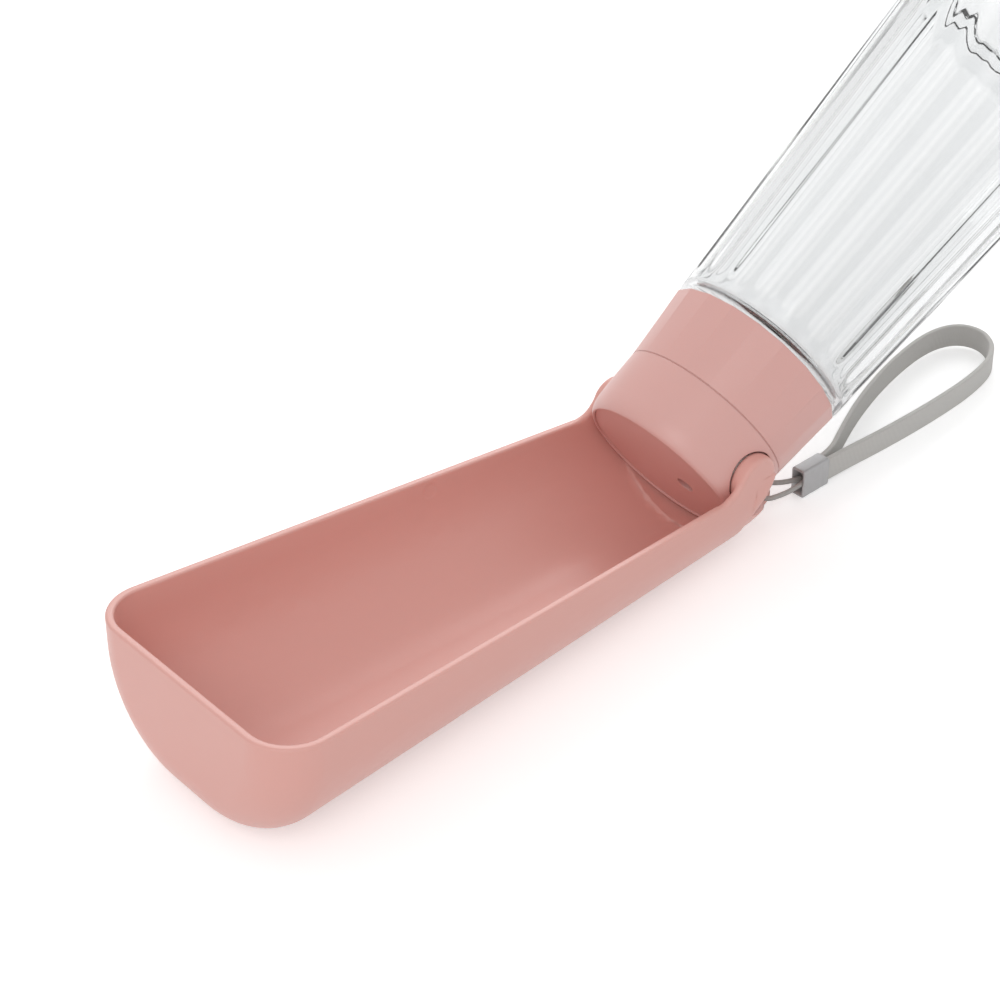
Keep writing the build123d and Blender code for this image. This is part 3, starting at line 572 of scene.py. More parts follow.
# ---------------------------------------------------------------- finishes
@dataclass(frozen=True)
class MouldedPlastic:
    """Satin moulded plastic with a slow tone drift, the mould's fine grain and edges painted lighter, partly as
    wear and partly as a painted highlight.
    """

    name: str
    tone: Color
    second: Color
    smooth: float = 0.36
    grain: Grain = Grain.SATIN
    glow: float = 0.06
    edge_mm: float = 0.35
    # share towards white that the edges are painted: partly wear, partly a painted highlight
    edge_wear_highlight_lift: float = 0.10
    marks: Tuple[Tuple[float, float, float], ...] = ()

    def build(self) -> bpy.types.Material:
        """Build the material, with ejector-pin marks sunk at the given points."""
        material, tree, shader, coordinates = start_material(self.name)
        links = tree.links
        drift = tree.nodes.new("ShaderNodeGroup")
        drift.node_tree = GROUPS.tone_drift()
        drift.inputs["Tone"].default_value = (*self.tone, 1.0)
        drift.inputs["Second"].default_value = (*self.second, 1.0)
        drift.inputs["Scale"].default_value = 22.0
        drift.inputs["Amount"].default_value = 0.7
        surface = tree.nodes.new("ShaderNodeGroup")
        surface.node_tree = GROUPS.moulded_grain()
        surface.inputs["Grain"].default_value = self.grain.value[0]
        surface.inputs["Smooth"].default_value = self.smooth
        surface.inputs["Spread"].default_value = 0.10
        bump = tree.nodes.new("ShaderNodeBump")
        bump.inputs["Strength"].default_value = self.grain.value[1]
        bump.inputs["Distance"].default_value = 0.0004
        edge = tree.nodes.new("ShaderNodeGroup")
        edge.node_tree = GROUPS.edge_wear_and_highlight()
        edge.inputs["Radius"].default_value = self.edge_mm * MM
        # edges painted lighter: partly rubbed wear, partly a painted highlight
        worn_highlit_mix = tree.nodes.new("ShaderNodeMix")
        worn_highlit_mix.data_type = "RGBA"
        worn_highlit_tone = [channel + (1.0 - channel) * self.edge_wear_highlight_lift for channel in self.tone]
        worn_highlit_mix.inputs["B"].default_value = (*worn_highlit_tone, 1.0)
        links.new(coordinates.outputs["Object"], drift.inputs["Position"])
        links.new(coordinates.outputs["Object"], surface.inputs["Position"])
        links.new(edge.outputs["Mask"], worn_highlit_mix.inputs["Factor"])
        links.new(drift.outputs["Color"], worn_highlit_mix.inputs["A"])
        links.new(worn_highlit_mix.outputs["Result"], shader.inputs["Base Color"])
        links.new(surface.outputs["Roughness"], shader.inputs["Roughness"])
        links.new(surface.outputs["Height"], bump.inputs["Height"])
        links.new(self._add_marks(tree, coordinates, edge.outputs["Normal"]), bump.inputs["Normal"])
        links.new(bump.outputs["Normal"], shader.inputs["Normal"])
        shader.inputs["Subsurface Weight"].default_value = self.glow
        shader.inputs["Subsurface Radius"].default_value = (0.004, 0.002, 0.0015)
        shader.inputs["Subsurface Scale"].default_value = 0.5
        shader.inputs["Specular IOR Level"].default_value = 0.5
        return material

    def _add_marks(
        self, tree: bpy.types.NodeTree, coordinates: bpy.types.Node, normal: bpy.types.NodeSocket
    ) -> bpy.types.NodeSocket:
        """Sink a shallow round mark at each point: height falls inside its radius.

        Args:
            tree: the material's tree.
            coordinates: its Texture Coordinate node.
            normal: the normal that the first mark starts from.

        Returns:
            The normal socket after the last mark.
        """
        for point in self.marks:
            distance = tree.nodes.new("ShaderNodeVectorMath")
            distance.operation = "DISTANCE"
            distance.inputs[1].default_value = point
            fall = tree.nodes.new("ShaderNodeMapRange")
            fall.interpolation_type = "SMOOTHSTEP"
            fall.inputs["From Min"].default_value = 0.0016
            fall.inputs["From Max"].default_value = 0.0026
            bump = tree.nodes.new("ShaderNodeBump")
            bump.inputs["Strength"].default_value = 0.35
            bump.inputs["Distance"].default_value = 0.0003
            tree.links.new(coordinates.outputs["Object"], distance.inputs[0])
            tree.links.new(distance.outputs["Value"], fall.inputs["Value"])
            tree.links.new(fall.outputs["Result"], bump.inputs["Height"])
            tree.links.new(normal, bump.inputs["Normal"])
            normal = bump.outputs["Normal"]
        return normal


@dataclass(frozen=True)
class ClearPlastic:
    """Clear thick plastic: polished, with faint flow lines from moulding."""

    name: str
    tint: Color = (0.865, 0.870, 0.872)
    thick_tint: Color = (0.755, 0.765, 0.770)
    ior: float = 1.40
    smooth: float = 0.004

    def build(self) -> bpy.types.Material:
        """Build the material; the UV map's first value is how thick the wall is, which deepens the tint."""
        material, tree, shader, coordinates = start_material(self.name)
        links = tree.links
        wall = tree.nodes.new("ShaderNodeUVMap")
        wall.uv_map = "weave"
        part = tree.nodes.new("ShaderNodeSeparateXYZ")
        depth = tree.nodes.new("ShaderNodeMix")
        depth.data_type = "RGBA"
        depth.inputs["A"].default_value = (*self.tint, 1.0)
        depth.inputs["B"].default_value = (*self.thick_tint, 1.0)
        links.new(wall.outputs["UV"], part.inputs["Vector"])
        links.new(part.outputs["X"], depth.inputs["Factor"])
        links.new(depth.outputs["Result"], shader.inputs["Base Color"])
        flow = tree.nodes.new("ShaderNodeTexNoise")
        flow.inputs["Scale"].default_value = 40.0
        flow.inputs["Detail"].default_value = 0.0
        bump = tree.nodes.new("ShaderNodeBump")
        bump.inputs["Strength"].default_value = 0.02
        bump.inputs["Distance"].default_value = 0.001
        haze = tree.nodes.new("ShaderNodeMapRange")
        haze.inputs["To Min"].default_value = self.smooth
        haze.inputs["To Max"].default_value = self.smooth + 0.006
        links.new(coordinates.outputs["Object"], flow.inputs["Vector"])
        links.new(flow.outputs["Fac"], bump.inputs["Height"])
        links.new(flow.outputs["Fac"], haze.inputs["Value"])
        links.new(haze.outputs["Result"], shader.inputs["Roughness"])
        links.new(bump.outputs["Normal"], shader.inputs["Normal"])
        shader.inputs["IOR"].default_value = self.ior
        shader.inputs["Transmission Weight"].default_value = 1.0
        return material


@dataclass(frozen=True)
class Rubber:
    """Soft seal rubber with a dull bloom."""

    name: str
    kind: SealKind

    def build(self) -> bpy.types.Material:
        """Build the material."""
        material, tree, shader, coordinates = start_material(self.name)
        drift = tree.nodes.new("ShaderNodeGroup")
        drift.node_tree = GROUPS.tone_drift()
        tone = self.kind.value
        drift.inputs["Tone"].default_value = (*tone, 1.0)
        drift.inputs["Second"].default_value = (*[channel * 0.86 for channel in tone], 1.0)
        drift.inputs["Scale"].default_value = 400.0
        surface = tree.nodes.new("ShaderNodeGroup")
        surface.node_tree = GROUPS.moulded_grain()
        surface.inputs["Smooth"].default_value = 0.55
        bump = tree.nodes.new("ShaderNodeBump")
        bump.inputs["Strength"].default_value = 0.05
        bump.inputs["Distance"].default_value = 0.0003
        tree.links.new(coordinates.outputs["Object"], drift.inputs["Position"])
        tree.links.new(coordinates.outputs["Object"], surface.inputs["Position"])
        tree.links.new(drift.outputs["Color"], shader.inputs["Base Color"])
        tree.links.new(surface.outputs["Roughness"], shader.inputs["Roughness"])
        tree.links.new(surface.outputs["Height"], bump.inputs["Height"])
        tree.links.new(bump.outputs["Normal"], shader.inputs["Normal"])
        return material


@dataclass(frozen=True)
class SatinMetal:
    """Ground or tumbled metal with fine scratches along one direction."""

    name: str
    tone: Color
    smooth: float = 0.3
    metallic: float = 1.0

    def build(self) -> bpy.types.Material:
        """Build the material: a noise stretched along Y is both scratch height and roughness."""
        material, tree, shader, coordinates = start_material(self.name)
        stretch = tree.nodes.new("ShaderNodeMapping")
        stretch.inputs["Scale"].default_value = (1.0, 0.06, 1.0)
        scratch = tree.nodes.new("ShaderNodeTexNoise")
        scratch.inputs["Scale"].default_value = 2400.0
        drift = tree.nodes.new("ShaderNodeGroup")
        drift.node_tree = GROUPS.tone_drift()
        drift.inputs["Tone"].default_value = (*self.tone, 1.0)
        drift.inputs["Second"].default_value = (*[channel * 0.8 for channel in self.tone], 1.0)
        drift.inputs["Scale"].default_value = 260.0
        rough = tree.nodes.new("ShaderNodeMapRange")
        rough.inputs["To Min"].default_value = self.smooth
        rough.inputs["To Max"].default_value = self.smooth + 0.18
        bump = tree.nodes.new("ShaderNodeBump")
        bump.inputs["Strength"].default_value = 0.08
        bump.inputs["Distance"].default_value = 0.0002
        tree.links.new(coordinates.outputs["Object"], stretch.inputs["Vector"])
        tree.links.new(coordinates.outputs["Object"], drift.inputs["Position"])
        tree.links.new(stretch.outputs["Vector"], scratch.inputs["Vector"])
        tree.links.new(scratch.outputs["Fac"], rough.inputs["Value"])
        tree.links.new(scratch.outputs["Fac"], bump.inputs["Height"])
        tree.links.new(rough.outputs["Result"], shader.inputs["Roughness"])
        tree.links.new(bump.outputs["Normal"], shader.inputs["Normal"])
        tree.links.new(drift.outputs["Color"], shader.inputs["Base Color"])
        shader.inputs["Metallic"].default_value = self.metallic
        return material


@dataclass(frozen=True)
class WovenBand:
    """Flat woven tape: ribs across the band from the weft and a diagonal twill over them."""

    name: str
    tone: Color
    second: Color
    rib_mm: float = 0.55
    strength: float = 0.6

    def build(self) -> bpy.types.Material:
        """Build the material from the piece's UV map, which is in metres along and round."""
        material, tree, shader, _ = start_material(self.name)
        links = tree.links
        uv = tree.nodes.new("ShaderNodeUVMap")
        uv.uv_map = "weave"
        height = None
        for turn, share in ((0.0, 1.0), (0.9, 0.6)):
            mapping = tree.nodes.new("ShaderNodeMapping")
            mapping.inputs["Rotation"].default_value = (0.0, 0.0, turn)
            wave = tree.nodes.new("ShaderNodeTexWave")
            wave.wave_type = "BANDS"
            wave.bands_direction = "X"
            wave.inputs["Scale"].default_value = 2.0 * np.pi / (20.0 * self.rib_mm * MM)
            wave.inputs["Distortion"].default_value = 0.25
            wave.inputs["Detail"].default_value = 1.0
            weight = tree.nodes.new("ShaderNodeMath")
            weight.operation = "MULTIPLY"
            weight.inputs[1].default_value = share
            links.new(uv.outputs["UV"], mapping.inputs["Vector"])
            links.new(mapping.outputs["Vector"], wave.inputs["Vector"])
            links.new(wave.outputs["Fac"], weight.inputs[0])
            if height is None:
                height = weight.outputs[0]
                continue
            total = tree.nodes.new("ShaderNodeMath")
            total.operation = "ADD"
            links.new(height, total.inputs[0])
            links.new(weight.outputs[0], total.inputs[1])
            height = total.outputs[0]
        color = tree.nodes.new("ShaderNodeMix")
        color.data_type = "RGBA"
        color.inputs["A"].default_value = (*self.second, 1.0)
        color.inputs["B"].default_value = (*self.tone, 1.0)
        bump = tree.nodes.new("ShaderNodeBump")
        bump.inputs["Strength"].default_value = self.strength
        bump.inputs["Distance"].default_value = 0.00015
        links.new(height, color.inputs["Factor"])
        links.new(height, bump.inputs["Height"])
        links.new(color.outputs["Result"], shader.inputs["Base Color"])
        links.new(bump.outputs["Normal"], shader.inputs["Normal"])
        shader.inputs["Roughness"].default_value = 0.82
        shader.inputs["Sheen Weight"].default_value = 0.25
        shader.inputs["Sheen Roughness"].default_value = 0.5
        return material


# ---------------------------------------------------------------- sub-assemblies
@dataclass
class Assembly:
    """Base of the sub-assemblies: the loaded frame, the layout and what each has dressed."""

    frame: Dict[str, object]
    layout: Layout
    dressed: List[str] = field(default_factory=list)

    def paint_node(self, node: str, material: bpy.types.Material) -> None:
        """Give a carried-over CAD node a finish in every one of its material slots."""
        piece = self.frame["nodes"][node]
        piece.data.materials.clear()
        piece.data.materials.append(material)
        self.dressed.append(node)

    def finish_piece(self, piece: bpy.types.Object, body: str, slot: str, material: bpy.types.Material) -> None:
        """Paint a new piece and let it ride on its body.

        Args:
            piece: the new object.
            body: name of the CAD body.
            slot: the record's material slot; not used.
            material: its finish.
        """
        piece.data.materials.append(material)
        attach(piece, body)
        self.dressed.append(piece.name)

    def report(self) -> None:
        """Log what this sub-assembly has dressed."""
        for name in self.dressed:
            LOG.info("%s: %s", type(self).__name__, name)


@dataclass
class Trough(Assembly):
    """The long drinking trough with its ears."""

    tone: Color = (0.725, 0.372, 0.325)
    second: Color = (0.745, 0.390, 0.343)
    ease_step_mm: float = 0.9
    ease_passes: int = 6
    ease_end_mm: float = 17.5
    ease_fade_mm: float = 4.0
    bore_zone_mm: float = 5.0
    bore_side_mm: float = 36.5
    mark_places_mm: Tuple[Tuple[float, float, float], ...] = ((-64.3, 30.1, -5.6), (-134.6, 33.9, -24.9))

    def ear_share(self, points: np.ndarray) -> np.ndarray:
        """Share of the easing: one at the ears, nought in their pin bores and past the fade.

        Args:
            points: array (n, 3), in metres in the frame.

        Returns:
            Array of n shares.
        """
        middle = np.array(self.layout.hinge)
        reach = np.hypot(points[:, 0] - middle[0], points[:, 2] - middle[2]) / MM
        fade = np.clip((self.ease_end_mm - reach) / self.ease_fade_mm, 0.0, 1.0)
        bore = (reach < self.bore_zone_mm) & (np.abs(points[:, 1]) < self.bore_side_mm * MM)
        return np.where(bore, 0.0, fade)

    def build(self) -> None:
        """Dress the trough: an eased copy stands in for the CAD node's crisp ears."""
        spots = self.layout.trough.world(np.array(self.mark_places_mm))
        marks = tuple(tuple(float(value) for value in spot) for spot in spots)
        finish = MouldedPlastic("trough_satin", self.tone, self.second, smooth=0.30, edge_mm=0.6, marks=marks)
        source = self.frame["nodes"]["drinking_trough"]
        piece = eased_copy(source, "trough_eased", self.ease_step_mm * MM, self.ease_passes, self.ear_share)
        self.finish_piece(piece, "trough", "trough_plastic", finish.build())
        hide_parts("drinking_trough")


@dataclass
class Head(Assembly):
    """Collar, outlet plate and hinge parts."""

    tone: Color = (0.690, 0.385, 0.350)
    second: Color = (0.710, 0.400, 0.366)

    def build(self) -> None:
        """Dress the head's CAD nodes."""
        shell = MouldedPlastic("head_satin", self.tone, self.second, smooth=0.30).build()
        self.paint_node("collar_shell", shell)
        self.paint_node("outlet_plate", shell)
        self.paint_node("outlet_seal", Rubber("outlet_rubber", SealKind.DUSKY_PINK).build())
        steel = SatinMetal("pin_steel", (0.56, 0.56, 0.58)).build()
        self.paint_node("hinge_pins", steel)
        self.paint_node("snap_ring", SatinMetal("spring_steel", (0.62, 0.62, 0.63), smooth=0.18).build())
        washer = MouldedPlastic("washer_nylon", (0.78, 0.78, 0.75), (0.7, 0.7, 0.67), 0.42, Grain.FINE)
        self.paint_node("hinge_washers", washer.build())


@dataclass
class TwistCap(Assembly):
    """Twist ring with the valve and cap that turn with it."""

    lip_inner_mm: float = 24.0
    lip_outer_mm: float = 25.43
    lip_low_mm: float = 9.02
    lip_high_mm: float = 9.40
    # darker pink of the lip: painted shade in the joint with the collar
    lip_shade_tone: Color = (0.640, 0.300, 0.260)
    tone: Color = (0.690, 0.385, 0.350)
    second: Color = (0.710, 0.400, 0.366)

    def build(self) -> None:
        """Dress the nodes that turn with the ring."""
        ring = MouldedPlastic("ring_satin", self.tone, self.second, smooth=0.30)
        self.paint_node("twist_ring", ring.build())
        cap = MouldedPlastic("cap_pink", self.tone, self.second, 0.4, Grain.FINE)
        self.paint_node("inner_cap", cap.build())
        valve = MouldedPlastic("valve_pink", self.tone, self.second, 0.3, Grain.FINE)
        self.paint_node("valve_disc", valve.build())
        self.paint_node("valve_disc_spring", SatinMetal("disc_spring_steel", (0.6, 0.6, 0.6), 0.2).build())
        milky = Rubber("seal_rubber_milky", SealKind.MILKY).build()
        for node in ("vent_valve", "cap_oring", "neck_gasket"):
            self.paint_node(node, milky)
        self.lip()

    def lip(self) -> None:
        """Thin lip of the ring that stands in its joint with the collar: a turned rounded section in a darker pink,
        which is painted shade of the joint.
        """
        half_width = (self.lip_outer_mm - self.lip_inner_mm) / 2.0
        half_height = (self.lip_high_mm - self.lip_low_mm) / 2.0
        section = rounded_box_outline(half_width, half_height, half_height * 0.8, 4)
        section += [self.lip_outer_mm - half_width, self.lip_high_mm - half_height]
        angle = np.linspace(0.0, 2.0 * np.pi, 240, endpoint=False)
        points = np.stack([
            section[:, None, 0] * np.cos(angle),
            section[:, None, 0] * np.sin(angle),
            np.repeat(section[:, 1:2], len(angle), axis=1),
        ], axis=-1).reshape(-1, 3)
        faces = grid_faces(len(section), len(angle), True, wrap_rows=True)
        piece = new_piece("ring_lip", self.layout.head.world(points), faces)
        # the lip's darker tone is painted shade of the joint
        finish = MouldedPlastic("lip_shaded_satin", self.lip_shade_tone, self.tone, smooth=0.34)
        self.finish_piece(piece, "twist", "head_plastic", finish.build())


@dataclass
class Bottle(Assembly):
    """Thick clear bottle: a turned shell whose outside is sunk by round-ended flutes."""

    neck_front_mm: float = 0.0
    neck_radius_mm: float = 17.8
    neck_wall_mm: float = 2.4
    start_mm: float = 30.9
    start_radius_mm: float = 27.4
    taper: float = 0.0657
    length_mm: float = 155.0
    wall_mm: float = 2.6
    shoulder_round_mm: float = 2.0
    base_round_mm: float = 7.0
    base_hollow_mm: float = 2.2
    base_ring_mm: float = 9.0
    flute_count: int = 20
    inner_shoulder_round_mm: float = 3.0
    ledge_wall_mm: float = 2.3
    flute_radius_mm: float = 14.0
    flute_depth_mm: float = 0.55
    flute_start_mm: float = 5.0
    flute_crest_mm: float = 0.09
    columns_per_flute: int = 18
    cone_rows: int = 110

    def cone_radius(self, height: np.ndarray) -> np.ndarray:
        """Plain cone outside: start radius plus taper times the distance from the start."""
        return self.start_radius_mm + self.taper * (height - self.start_mm)

    def outline(self) -> np.ndarray:
        """Half section from the middle of the base, up the outside, and down the inside.

        Returns:
            Array (rows, 2) of radius and height, in millimetres.
        """
        length, start = self.length_mm, self.start_mm
        base = float(self.cone_radius(np.array(length - self.base_round_mm)))
        foot = base - self.base_round_mm
        hollow = foot - self.base_ring_mm / 2.0
        bore = self.neck_radius_mm - self.neck_wall_mm
        floor = length - self.base_hollow_mm - self.wall_mm
        inner_round = self.base_round_mm - self.wall_mm
        inner_base = float(self.cone_radius(np.array(floor - inner_round))) - self.wall_mm
        ledge = start + self.ledge_wall_mm
        lead = ledge + self.inner_shoulder_round_mm
        lead_radius = float(self.cone_radius(np.array(lead))) - self.wall_mm
        ledge_end = lead_radius - self.inner_shoulder_round_mm
        shoulder = self.start_radius_mm - self.shoulder_round_mm
        pitch_rows = straight((base, length - self.base_round_mm), (
            float(self.cone_radius(np.array(start + self.shoulder_round_mm))), start + self.shoulder_round_mm),
            self.cone_rows)
        return np.concatenate([
            [(0.0, length - self.base_hollow_mm)],
            straight((hollow * 0.5, length - self.base_hollow_mm), (hollow, length - self.base_hollow_mm), 2),
            straight((hollow + self.base_hollow_mm, length), (foot, length), 3),
            arc((foot, length - self.base_round_mm), self.base_round_mm, 90.0, 0.0, 14)[1:-1],
            pitch_rows,
            arc((shoulder, start + self.shoulder_round_mm), self.shoulder_round_mm, 0.0, -90.0, 8)[1:],
            straight((self.neck_radius_mm + 0.6, start), (self.neck_radius_mm, start - 0.6), 3),
            straight((self.neck_radius_mm, start - 2.0), (self.neck_radius_mm, self.neck_front_mm + 0.4), 6),
            straight((self.neck_radius_mm - 0.4, self.neck_front_mm), (bore + 0.4, self.neck_front_mm), 2),
            straight((bore, self.neck_front_mm + 0.4), (bore, ledge - 0.4), 6),
            straight((bore + 0.4, ledge), (ledge_end, ledge), 6),
            arc((ledge_end, lead), self.inner_shoulder_round_mm, -90.0, 0.0, 9)[1:-1],
            straight((lead_radius, lead), (inner_base, floor - inner_round), 12)[1:],
            arc((inner_base - inner_round, floor - inner_round), inner_round, 0.0, 90.0, 8)[1:],
            straight((inner_base - inner_round, floor), (4.0, floor), 4)[1:],
            [(0.0, floor)],
        ])

    def flute_depth(self, radius: np.ndarray, height: np.ndarray, angle: np.ndarray) -> np.ndarray:
        """Depth that the flutes sink the cone by.

        A flute is a cylinder of the tool's radius laid along the cone, so its depth falls with
        the square of the way round and, before its start, of the way along.  Depths under
        nought fade out over the crest's round.

        Args:
            radius: cone radius at each point.
            height: distance from the hinge of each point.
            angle: angle round the axis of each point.

        Returns:
            Depth at each point, in millimetres.
        """
        pitch = 2.0 * np.pi / self.flute_count
        across = radius * ((angle + pitch / 2.0) % pitch - pitch / 2.0)
        begin = self.start_mm + self.flute_start_mm + np.sqrt(2.0 * self.flute_radius_mm * self.flute_depth_mm)
        before = np.maximum(begin - height, 0.0)
        curve = 0.5 * (1.0 / self.flute_radius_mm + 1.0 / radius)
        depth = self.flute_depth_mm - across ** 2 * curve - before ** 2 / (2.0 * self.flute_radius_mm)
        return 0.5 * (depth + np.sqrt(depth ** 2 + self.flute_crest_mm ** 2))

    def shell(self) -> Tuple[np.ndarray, List[List[int]], np.ndarray]:
        """Turned outline whose outside points are drawn in to the flutes where those lie deeper.

        Returns:
            Points, faces and, for each point, the share of the flute depth left in the wall.
        """
        columns = self.flute_count * self.columns_per_flute
        points, faces = lathe(self.outline(), columns)
        radius = np.hypot(points[:, 0], points[:, 1])
        angle = np.arctan2(points[:, 1], points[:, 0])
        height = points[:, 2]
        cone = self.cone_radius(height)
        outside = (height > self.start_mm + 0.5) & (radius > cone - self.wall_mm * 0.55 - 6.0 * (height > 149.0))
        sunk = np.minimum(radius, cone - self.flute_depth(np.maximum(cone, 1.0), height, angle))
        scale = np.where(outside & (radius > 1.0), sunk / np.maximum(radius, 1e-6), 1.0)
        points[:, :2] *= scale[:, None]
        left = 1.0 - np.clip((1.0 - scale) * radius / self.flute_depth_mm, 0.0, 1.0)
        return points, faces, np.where(outside, left, 0.0)

    def build(self) -> None:
        """Build the clear shell and dress the neck seal."""
        points, faces, thick = self.shell()
        shell = new_piece("bottle_clear", self.layout.head.world(points), faces)
        write_uv(shell, np.stack([thick, points[:, 2] * MM], axis=-1))
        self.finish_piece(shell, "bottle", "clear_plastic", ClearPlastic("clear_bottle_plastic").build())
        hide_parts("bottle_shell")
        self.paint_node("neck_seal", Rubber("neck_seal_rubber", SealKind.MILKY).build())


@dataclass
class WristStrap(Assembly):
    """Woven band on its edge, the short cord to the trough's eyelet and the clamp between them."""

    band_width_mm: float = 7.4
    band_thickness_mm: float = 1.5
    band_length_mm: float = 203.5
    cord_diameter_mm: float = 1.5
    cord_length_mm: float = 40.2
    band_height_mm: float = 4.5
    clamp_x_mm: float = 34.8
    clamp_y_mm: float = -11.7
    clamp_length_mm: float = 10.5
    clamp_depth_mm: float = 4.9
    clamp_height_mm: float = 9.0
    clamp_wall_mm: float = 0.7
    band_route_mm: Tuple[Tuple[float, float], ...] = (
        (37.8, -12.6), (50.0, -12.6), (68.0, -13.8), (90.0, -14.1), (111.0, -12.9), (125.5, -9.0),
        (132.4, 0.2), (129.8, 9.0), (118.5, 12.2), (97.5, 8.8), (77.0, 2.4), (60.0, -5.2),
        (49.0, -10.8), (37.8, -10.8))
    cord_route_mm: Tuple[Tuple[float, float, float], ...] = (
        (37.3, -10.8, 4.5), (31.4, -10.5, 5.4), (25.27, -6.15, 6.34), (21.07, -6.75, 6.48),
        (20.32, -8.8, 6.48), (20.32, -11.2, 6.33), (21.07, -13.25, 6.33), (24.97, -13.55, 5.64),
        (31.4, -12.9, 4.2), (37.3, -12.6, 4.5))

    def band(self) -> None:
        """Sweep the tape's rounded section along its route, standing on its edge."""
        flat = np.array(self.band_route_mm)
        route = np.column_stack([flat, np.full(len(flat), self.band_height_mm)])
        line = route_line("band_route", self.layout.floor.world(route), 14)
        section = rounded_box_outline(
            self.band_thickness_mm / 2.0, self.band_width_mm / 2.0, 0.45, 5) * MM
        up = np.tile([0.0, 0.0, 1.0], (len(line), 1))
        points, faces, uv = sweep_section(line, section, up)
        piece = new_piece("strap_band", points, faces)
        write_uv(piece, uv)
        weave = WovenBand("woven_tape", (0.60, 0.585, 0.56), (0.47, 0.46, 0.445), strength=0.35)
        self.finish_piece(piece, "trough", "strap_fabric", weave.build())
        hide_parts("strap_webbing")

    def cord(self) -> None:
        """Sweep the round cord along its loop through the eyelet."""
        route = self.layout.floor.world(np.array(self.cord_route_mm))
        line = route_line("cord_route", route, 12)
        angle = np.linspace(0.0, 2.0 * np.pi, 14, endpoint=False)
        section = np.stack([np.cos(angle), np.sin(angle)], axis=-1) * self.cord_diameter_mm / 2.0 * MM
        up = np.tile([0.0, 0.0, 1.0], (len(line), 1))
        points, faces, uv = sweep_section(line, section, up)
        piece = new_piece("strap_string", points, faces)
        write_uv(piece, uv)
        braid = WovenBand("braided_cord", (0.50, 0.49, 0.47), (0.34, 0.33, 0.32), rib_mm=0.4)
        self.finish_piece(piece, "trough", "cord_fabric", braid.build())
        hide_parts("strap_cord")

    def clamp(self) -> None:
        """Folded clamp: outer and inner rounded outlines carried along X, joined at both mouths.

        The outer outline is pressed in along two lines across the clamp, by a bell of the
        distance from each line.
        """
        half = self.clamp_length_mm / 2.0
        edge = 0.3
        rows = np.concatenate([[-half, -half + edge * 0.3], np.linspace(-half + edge, half - edge, 31), [half - edge * 0.3, half]])
        inset = np.interp(np.abs(rows), [half - edge, half - edge * 0.3, half], [0.0, edge * 0.3, edge])
        press = 0.28 * (np.exp(-((rows - 2.4) / 0.8) ** 2) + np.exp(-((rows + 2.4) / 0.8) ** 2))
        outline = rounded_box_outline(self.clamp_depth_mm / 2.0, self.clamp_height_mm / 2.0, 0.9, 6)
        direction = outline / np.abs(outline).max(axis=0)
        flank = np.clip(1.0 - (np.abs(outline[:, 1]) / (self.clamp_height_mm / 2.0)) ** 4, 0.0, 1.0)
        outer = outline[None] - direction[None] * inset[:, None, None]
        outer[..., 0] -= np.sign(outline[:, 0]) * press[:, None] * flank
        hollow = rounded_box_outline(self.clamp_depth_mm / 2.0 - self.clamp_wall_mm,
                                     self.clamp_height_mm / 2.0 - self.clamp_wall_mm, 0.3, 6)
        inner = np.repeat(hollow[None], 2, axis=0)
        ring = np.concatenate([outer, inner[::-1]])
        along = np.concatenate([rows, [half, -half]])
        local = np.concatenate([np.repeat(along[:, None, None], ring.shape[1], axis=1), ring], axis=-1)
        offset = np.array([self.clamp_x_mm + half, self.clamp_y_mm, self.clamp_height_mm / 2.0])
        points = self.layout.floor.world(local.reshape(-1, 3) + offset)
        faces = grid_faces(len(ring), ring.shape[1], True, wrap_rows=True)
        piece = new_piece("strap_clamp", points, faces)
        metal = SatinMetal("clamp_metal", (0.46, 0.46, 0.465), smooth=0.40, metallic=0.60)
        self.finish_piece(piece, "trough", "crimp_metal", metal.build())
        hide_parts("strap_crimp")

    def build(self) -> None:
        """Build band, cord and clamp."""
        self.band()
        self.cord()
        self.clamp()


# ---------------------------------------------------------------- studio
def seen_rays(tree: bpy.types.NodeTree) -> bpy.types.NodeSocket:
    """One for camera, glossy and transmission rays, nought for the rays that light the object.

    Args:
        tree: the tree that the nodes go into.

    Returns:
        The socket that carries the value.
    """
    rays = tree.nodes.new("ShaderNodeLightPath")
    total = rays.outputs["Is Camera Ray"]
    for kind in ("Is Glossy Ray", "Is Transmission Ray"):
        add = tree.nodes.new("ShaderNodeMath")
        add.operation = "ADD"
        add.use_clamp = True
        tree.links.new(total, add.inputs[0])
        tree.links.new(rays.outputs[kind], add.inputs[1])
        total = add.outputs[0]
    return total


